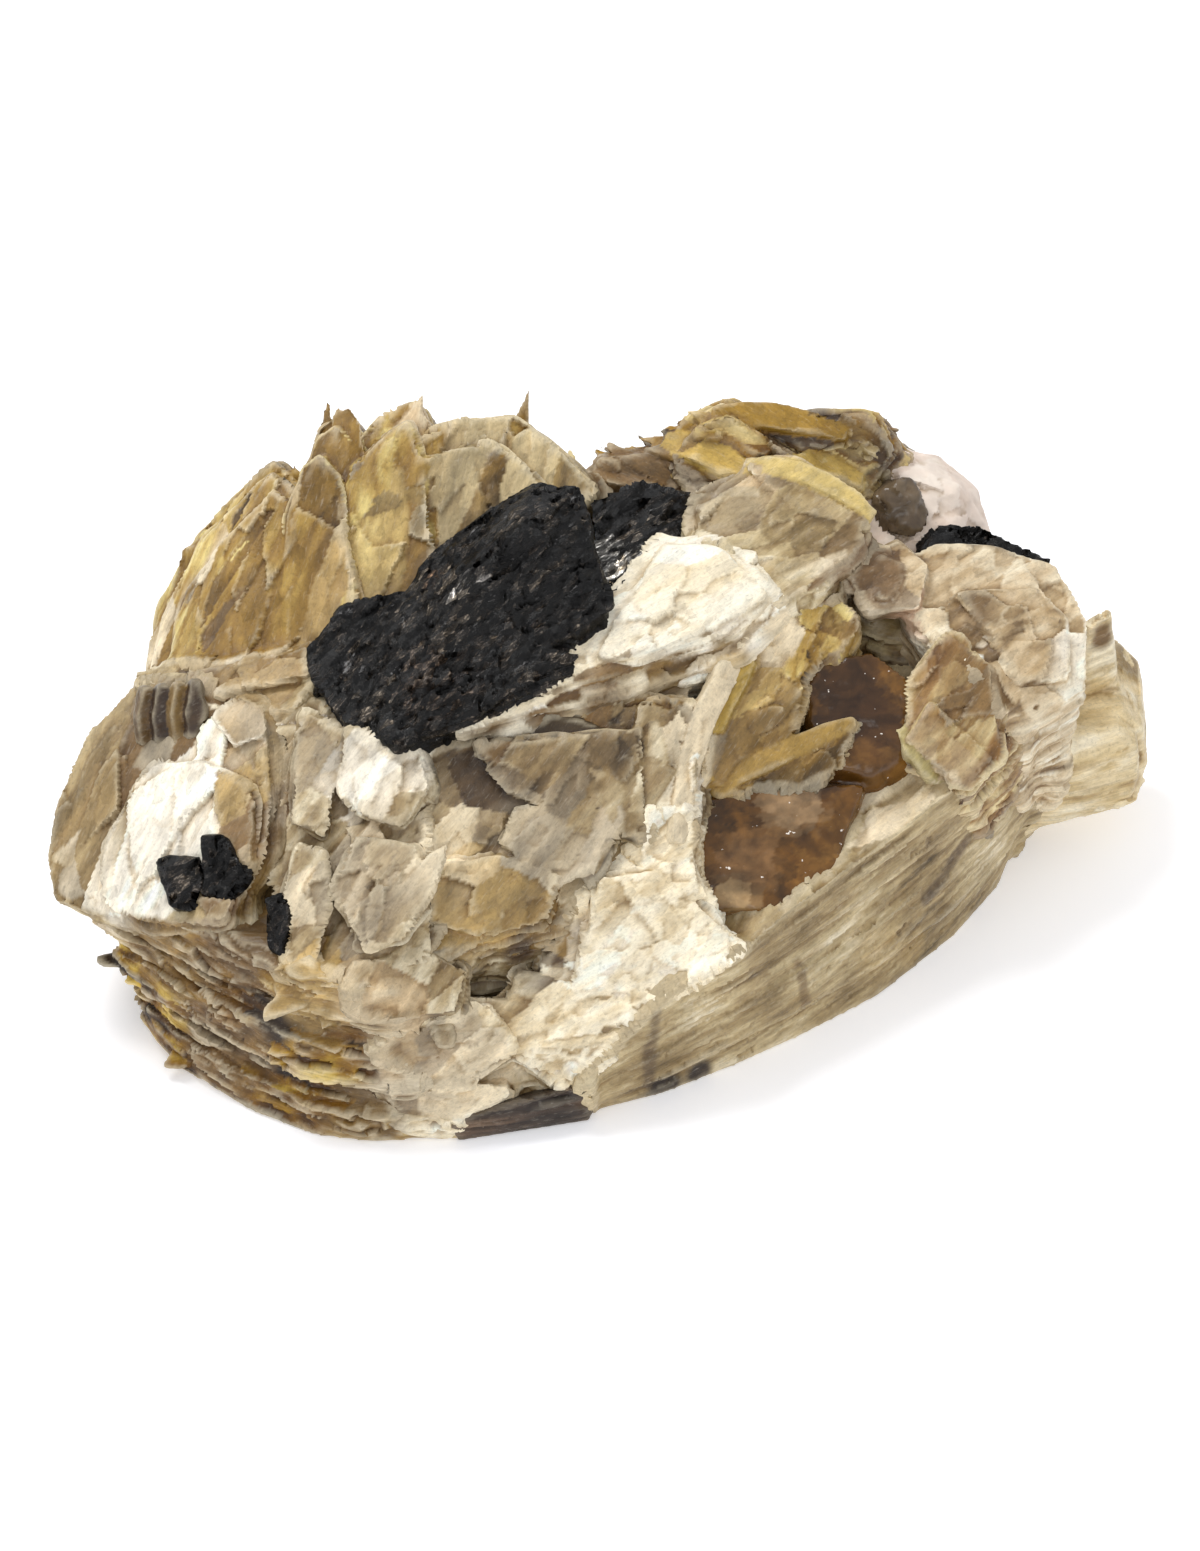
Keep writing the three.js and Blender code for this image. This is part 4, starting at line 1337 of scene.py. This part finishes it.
# how the loose leaves of each kind of book lie
LONG = Flakes(every=30, long=24, wide=7, thick=0.42, lean=0.05, turn=0.22, proud=(0.05, 0.4), over=0)
BROAD = Flakes(every=30, long=13, wide=9, thick=0.45, lean=0.05, turn=0.8, proud=(0.05, 0.35))
THIN = Flakes(every=15, long=9, wide=6, thick=0.45, lean=0.08, turn=0.8, proud=(0.05, 0.3))
MIXED = Flakes(every=20, long=15, wide=7, thick=0.45, lean=0.09, turn=0.45, proud=(0.05, 0.4), over=0.2)
RIBBONS = Flakes(every=6, long=19, wide=3.2, thick=0.6, lean=0.1, turn=0.14, proud=(0.15, 0.9), over=0)
SATIN = Flakes(every=34, long=16, wide=7, thick=0.45, lean=0.03, turn=0.25, proud=(0.05, 0.25))
RUFFLE = Flakes(every=13, long=17, wide=9, thick=0.6, lean=0.1, turn=0.8, proud=(0.2, 0.9), over=0)
SPARSE = Flakes(every=60, long=12, wide=7, thick=0.45, lean=0.04, turn=0.8, proud=(0.0, 0.25))
STACKED = Flakes(every=16, long=17, wide=12, thick=0.7, lean=0.1, turn=1.5, proud=(0.3, 1.4), over=0.6)
SPLINTERS = Flakes(every=4, long=6, wide=1.4, thick=0.7, lean=0.3, turn=0.3, proud=(0.05, 0.3), over=0)


@dataclass(frozen=True)
class MicaBooks:
    """The books of mica, and the grain along which each kind of book splits."""

    crest: Grain = Grain((-0.2, -0.66, 0.72), (0.29, 0.67, 0.69), leaf=1.0, plate=(15, 4), flakes=LONG)
    crown: Grain = Grain((0, -0.45, 0.9), (0.9, -0.4, -0.2), plate=(9, 2.6), flakes=RIBBONS)
    shield: Grain = Grain((-0.4, -0.485, 0.78), (0.43, 0.65, 0.63), leaf=0.8, plate=(11, 4.5), flakes=SATIN)
    fan: Grain = Grain(
        (0.05, -0.16, 0.98), (1, 0, 0), leaf=1.7, plate=(9, 4), ragged=0.7, run=8, flakes=RUFFLE
    )
    foot: Grain = Grain(
        (0, -0.12, 0.99), (1, 0, 0), leaf=0.8, plate=(6, 3), ragged=0.3, weld=0, flakes=SPARSE
    )
    slab: Grain = Grain(
        (-0.12, -0.1, 0.985), (0.75, 0.66, 0.1), leaf=0.8, plate=(9, 3), ragged=0.14, flakes=SPARSE
    )
    top: Grain = Grain(
        (0.1, -0.3, 0.95), (0.78, 0.61, 0.11), leaf=0.7, plate=(7, 4), ragged=0.25, flakes=BROAD
    )
    plain: Grain = Grain((0, -0.3, 0.95), (0.9, 0.3, 0.1), leaf=1.6, plate=(12, 8), ragged=0.15, flakes=BROAD)
    front: Grain = Grain((0, -0.6, 0.8), (0.5, 0.5, 0.5), leaf=0.7, plate=(6, 3.4), flakes=MIXED)
    crumpled: Grain = Grain(
        (0.1, -0.55, 0.83), (0.7, 0.4, 0.3), leaf=0.6, plate=(4.5, 2.6), crumple=0.14, flakes=THIN
    )
    rear_left: Grain = Grain(
        (-0.25, 0.82, 0.5),
        (0.8, 0.3, 0.3),
        leaf=1.0,
        plate=(12, 6),
        step=0.6,
        tilt=0.07,
        ragged=0.4,
        run=12,
        flakes=STACKED,
    )
    rear_right: Grain = Grain(
        (0.16, 0.12, 0.98), (1, 0, 0), leaf=0.9, plate=(9, 5), ragged=0.4, run=12, flakes=STACKED
    )

    def pieces(self) -> list[Piece]:
        """Every book, from the tall crest round to the back, and the dark foot."""
        return [*self.gold(), *self.middle(), *self.right(), *self.rear()]

    def gold(self) -> list[Piece]:
        """The crest, the crown, and the books of the left end."""
        return [
            Piece("crest_book", "gold_mica", self.crest, OLIVE, seed=3, rims=1.4, spots=MICA_SPOTS),
            Piece("crown_book", "gold_mica", self.crown, GOLD, seed=5, strips=CROWN_STRIPS, spots=MICA_SPOTS),
            Piece(
                "ledge_book",
                "gold_mica",
                self.top,
                BEIGE,
                Voxel.FINE,
                seed=7,
                strips=KNOT_STRIPS,
                spots=MICA_SPOTS,
            ),
            Piece("shield_book", "cream_mica", self.shield, BEIGE, seed=11, spots=MICA_SPOTS),
            Piece("fan_book", "gold_mica", self.fan, GOLD, seed=13, rims=1.6, spots=MICA_SPOTS),
        ]

    def middle(self) -> list[Piece]:
        """The plates and crumpled leaves of the front, and the plates above them."""
        return [
            Piece("mid_left_book", "grey_mica", self.front, GREY, seed=17, spots=MICA_SPOTS),
            Piece("centre_book", "grey_mica", self.front, GREY, seed=19, strips=RIM_STRIPS, spots=MICA_SPOTS),
            Piece("cream_book", "cream_mica", self.crumpled, CREAM, seed=23, spots=MICA_SPOTS),
            Piece("terrace_book", "cream_mica", self.top, CHALK, seed=29, mottle=0.5, spots=MICA_SPOTS),
            Piece(
                "top_plate_book", "grey_mica", self.top, BEIGE, seed=31, strips=PLATE_STRIPS, spots=MICA_SPOTS
            ),
            Piece("dome_book", "grey_mica", self.top, DOME, seed=37, spots=MICA_SPOTS),
        ]

    def right(self) -> list[Piece]:
        """The hollow's lining, the long side and the small block."""
        fine = {"voxel": Voxel.FINE, "spots": MICA_SPOTS}
        return [
            Piece("hollow_left_book", "gold_mica", self.front, OLIVE, seed=41, strips=HOLLOW_STRIPS, **fine),
            Piece("hollow_right_book", "gold_mica", self.front, RESIN, seed=43, strips=CURL_STRIPS, **fine),
            Piece("side_slab_book", "grey_mica", self.slab, BEIGE, seed=47, mottle=0.55, spots=MICA_SPOTS),
            Piece("right_block_book", "cream_mica", self.plain, BUFF, seed=53, spots=MICA_SPOTS),
        ]

    def rear(self) -> list[Piece]:
        """The two big books at the back, and the biotite under the front edge."""
        coarse = {"voxel": Voxel.COARSE, "spots": MICA_SPOTS}
        dark = {"voxel": Voxel.FINE, "rims": 0.3, "finish": MicaFinish("biotite_sheets")}
        return [
            Piece("rear_left_book", "grey_mica", self.rear_left, EARTH, seed=59, **coarse),
            Piece("rear_right_book", "grey_mica", self.rear_right, EARTH, seed=61, **coarse),
            Piece("biotite_foot", "biotite", self.foot, BIOTITE, seed=67, **dark),
        ]


@dataclass(frozen=True)
class HostRock:
    """The quartz and feldspar that the books grew in."""

    glassy: Grain = Grain(
        (0, -0.6, 0.8),
        (1, 0, 0),
        leaf=3,
        plate=(1.2, 0.9),
        step=0.05,
        tilt=0.03,
        ragged=0.1,
        crumple=0.25,
        weld=0,
        flakes=None,
    )
    lumpy: Grain = Grain(
        (0, -0.6, 0.8),
        (1, 0, 0),
        leaf=3,
        plate=(5, 4),
        step=0.35,
        tilt=0.14,
        crumple=0.8,
        weld=0.8,
        flakes=None,
    )
    worn: Grain = Grain(
        (0.3, -0.6, 0.74),
        (1, 0, 0),
        leaf=3,
        plate=(6, 5),
        step=0.3,
        tilt=0.1,
        ragged=0.1,
        crumple=0.22,
        weld=0.8,
        flakes=None,
    )

    def pieces(self) -> list[Piece]:
        """The brown quartz, the grey knob and the feldspar lump."""
        smoky = {"finish": QuartzFinish(), "mottle": 0.6, "spots": QUARTZ_SPOTS, "rims": 0}
        grey = {"finish": QuartzFinish("grey_quartz_glass", chips=0.9), "rims": 0}
        pink = {"finish": FeldsparFinish(), "rims": 0}
        return [
            Piece("smoky_quartz", "smoky_quartz", self.glassy, SMOKE, seed=71, **smoky),
            Piece("quartz_knob", "grey_quartz", self.lumpy, SLATE, seed=73, **grey),
            Piece("feldspar_lump", "feldspar", self.worn, SHELL, seed=79, **pink),
        ]


@dataclass(frozen=True)
class Tourmaline:
    """The black schorl: two broken crystals, a ridge and three chips."""

    broken: Grain = Grain(
        (0, -0.3, 0.95),
        (0.75, 0.6, 0.25),
        plate=(3.4, 1.2),
        tilt=0.15,
        crumple=0.12,
        grow=0,
        weld=0.5,
        flakes=SPLINTERS,
    )

    def pieces(self) -> list[Piece]:
        """The prism first, then the splinter, the ridge and the chips."""
        seeds = {
            "prism": 83, "splinter": 89, "ridge": 97, "chip_left": 101, "chip_middle": 103, "chip_right": 107
        }
        black = {"finish": SchorlFinish(), "spots": SCHORL_SPOTS, "rims": 0}
        return [
            Piece(f"schorl_{name}", "schorl", self.broken, BLACK, Voxel.FINE, seed=seed, **black)
            for name, seed in seeds.items()
        ]


# ---------------------------------------------------------------- the studio


@dataclass(frozen=True)
class Studio:
    """A white table under soft light from the upper left, and the camera."""

    target: Triple = (-0.5, -3.2, 20.0)
    distance: float = 700.0
    elevation: float = 40.0
    lens: float = 162.5
    floor: float = 6000.0

    def build(self) -> None:
        """Lays the floor, hangs the lights and sets the camera."""
        self.lay_floor()
        self.light_it()
        self.place_camera()

    def lay_floor(self) -> None:
        """A wide white table top, a hair below the specimen's underside."""
        deselect()
        bpy.ops.mesh.primitive_plane_add(size=self.floor * MM, location=(0, 0, -0.00005))
        floor = bpy.context.object
        floor.name = "table_top"
        made = bpy.data.materials.new("white_laminate")
        made.use_nodes = True
        skin = made.node_tree.nodes["Principled BSDF"]
        skin.inputs["Base Color"].default_value = (*linear("#f4f4f6"), 1)
        skin.inputs["Roughness"].default_value = 0.7
        skin.inputs["Emission Color"].default_value = (1, 1, 1, 1)
        skin.inputs["Emission Strength"].default_value = 0.25
        floor.data.materials.append(made)

    def light_it(self) -> None:
        """A big soft key from the upper left, a weak fill, and a white room."""
        scene = bpy.context.scene
        scene.view_settings.view_transform = "Standard"
        world = bpy.data.worlds.new("white_room")
        scene.world = world
        world.use_nodes = True
        world.node_tree.nodes["Background"].inputs["Color"].default_value = (0.96, 0.97, 1.0, 1)
        world.node_tree.nodes["Background"].inputs["Strength"].default_value = 0.8
        for name, at, size, power in (
            ("key", (-0.3, 0.3, 0.8), 0.32, 4.4),
            ("front_fill", (0.1, -0.9, 0.55), 0.5, 1.6),
        ):
            light = bpy.data.lights.new(name, "AREA")
            light.size = size
            light.energy = power
            lamp = bpy.data.objects.new(name, light)
            lamp.location = at
            scene.collection.objects.link(lamp)
            self.aim(lamp, (0, 0, 0.02))

    def place_camera(self) -> None:
        """The camera, above the front and looking down at the specimen."""
        rise = math.radians(self.elevation)
        x, y, z = (value * MM for value in self.target)
        back = self.distance * MM
        camera = bpy.data.objects.new("camera", bpy.data.cameras.new("camera"))
        camera.data.lens = self.lens
        camera.data.sensor_width = 36
        camera.data.clip_start = 0.01
        camera.location = (x, y - back * math.cos(rise), z + back * math.sin(rise))
        bpy.context.scene.collection.objects.link(camera)
        self.aim(camera, (x, y, z))
        bpy.context.scene.camera = camera

    @staticmethod
    def aim(thing: bpy.types.Object, at: Triple) -> None:
        """Turns an object's -Z axis toward a place."""
        thing.rotation_euler = (Vector(at) - thing.location).to_track_quat("-Z", "Y").to_euler()


def main() -> None:
    """Builds the studio and every piece, in order."""
    logging.basicConfig(level=logging.INFO)
    Studio().build()
    for group in (MicaBooks(), HostRock(), Tourmaline()):
        for piece in group.pieces():
            made = piece.build()
            log.info("%s: %d faces", made.name, len(made.data.polygons))


if __name__ == "__main__":
    main()
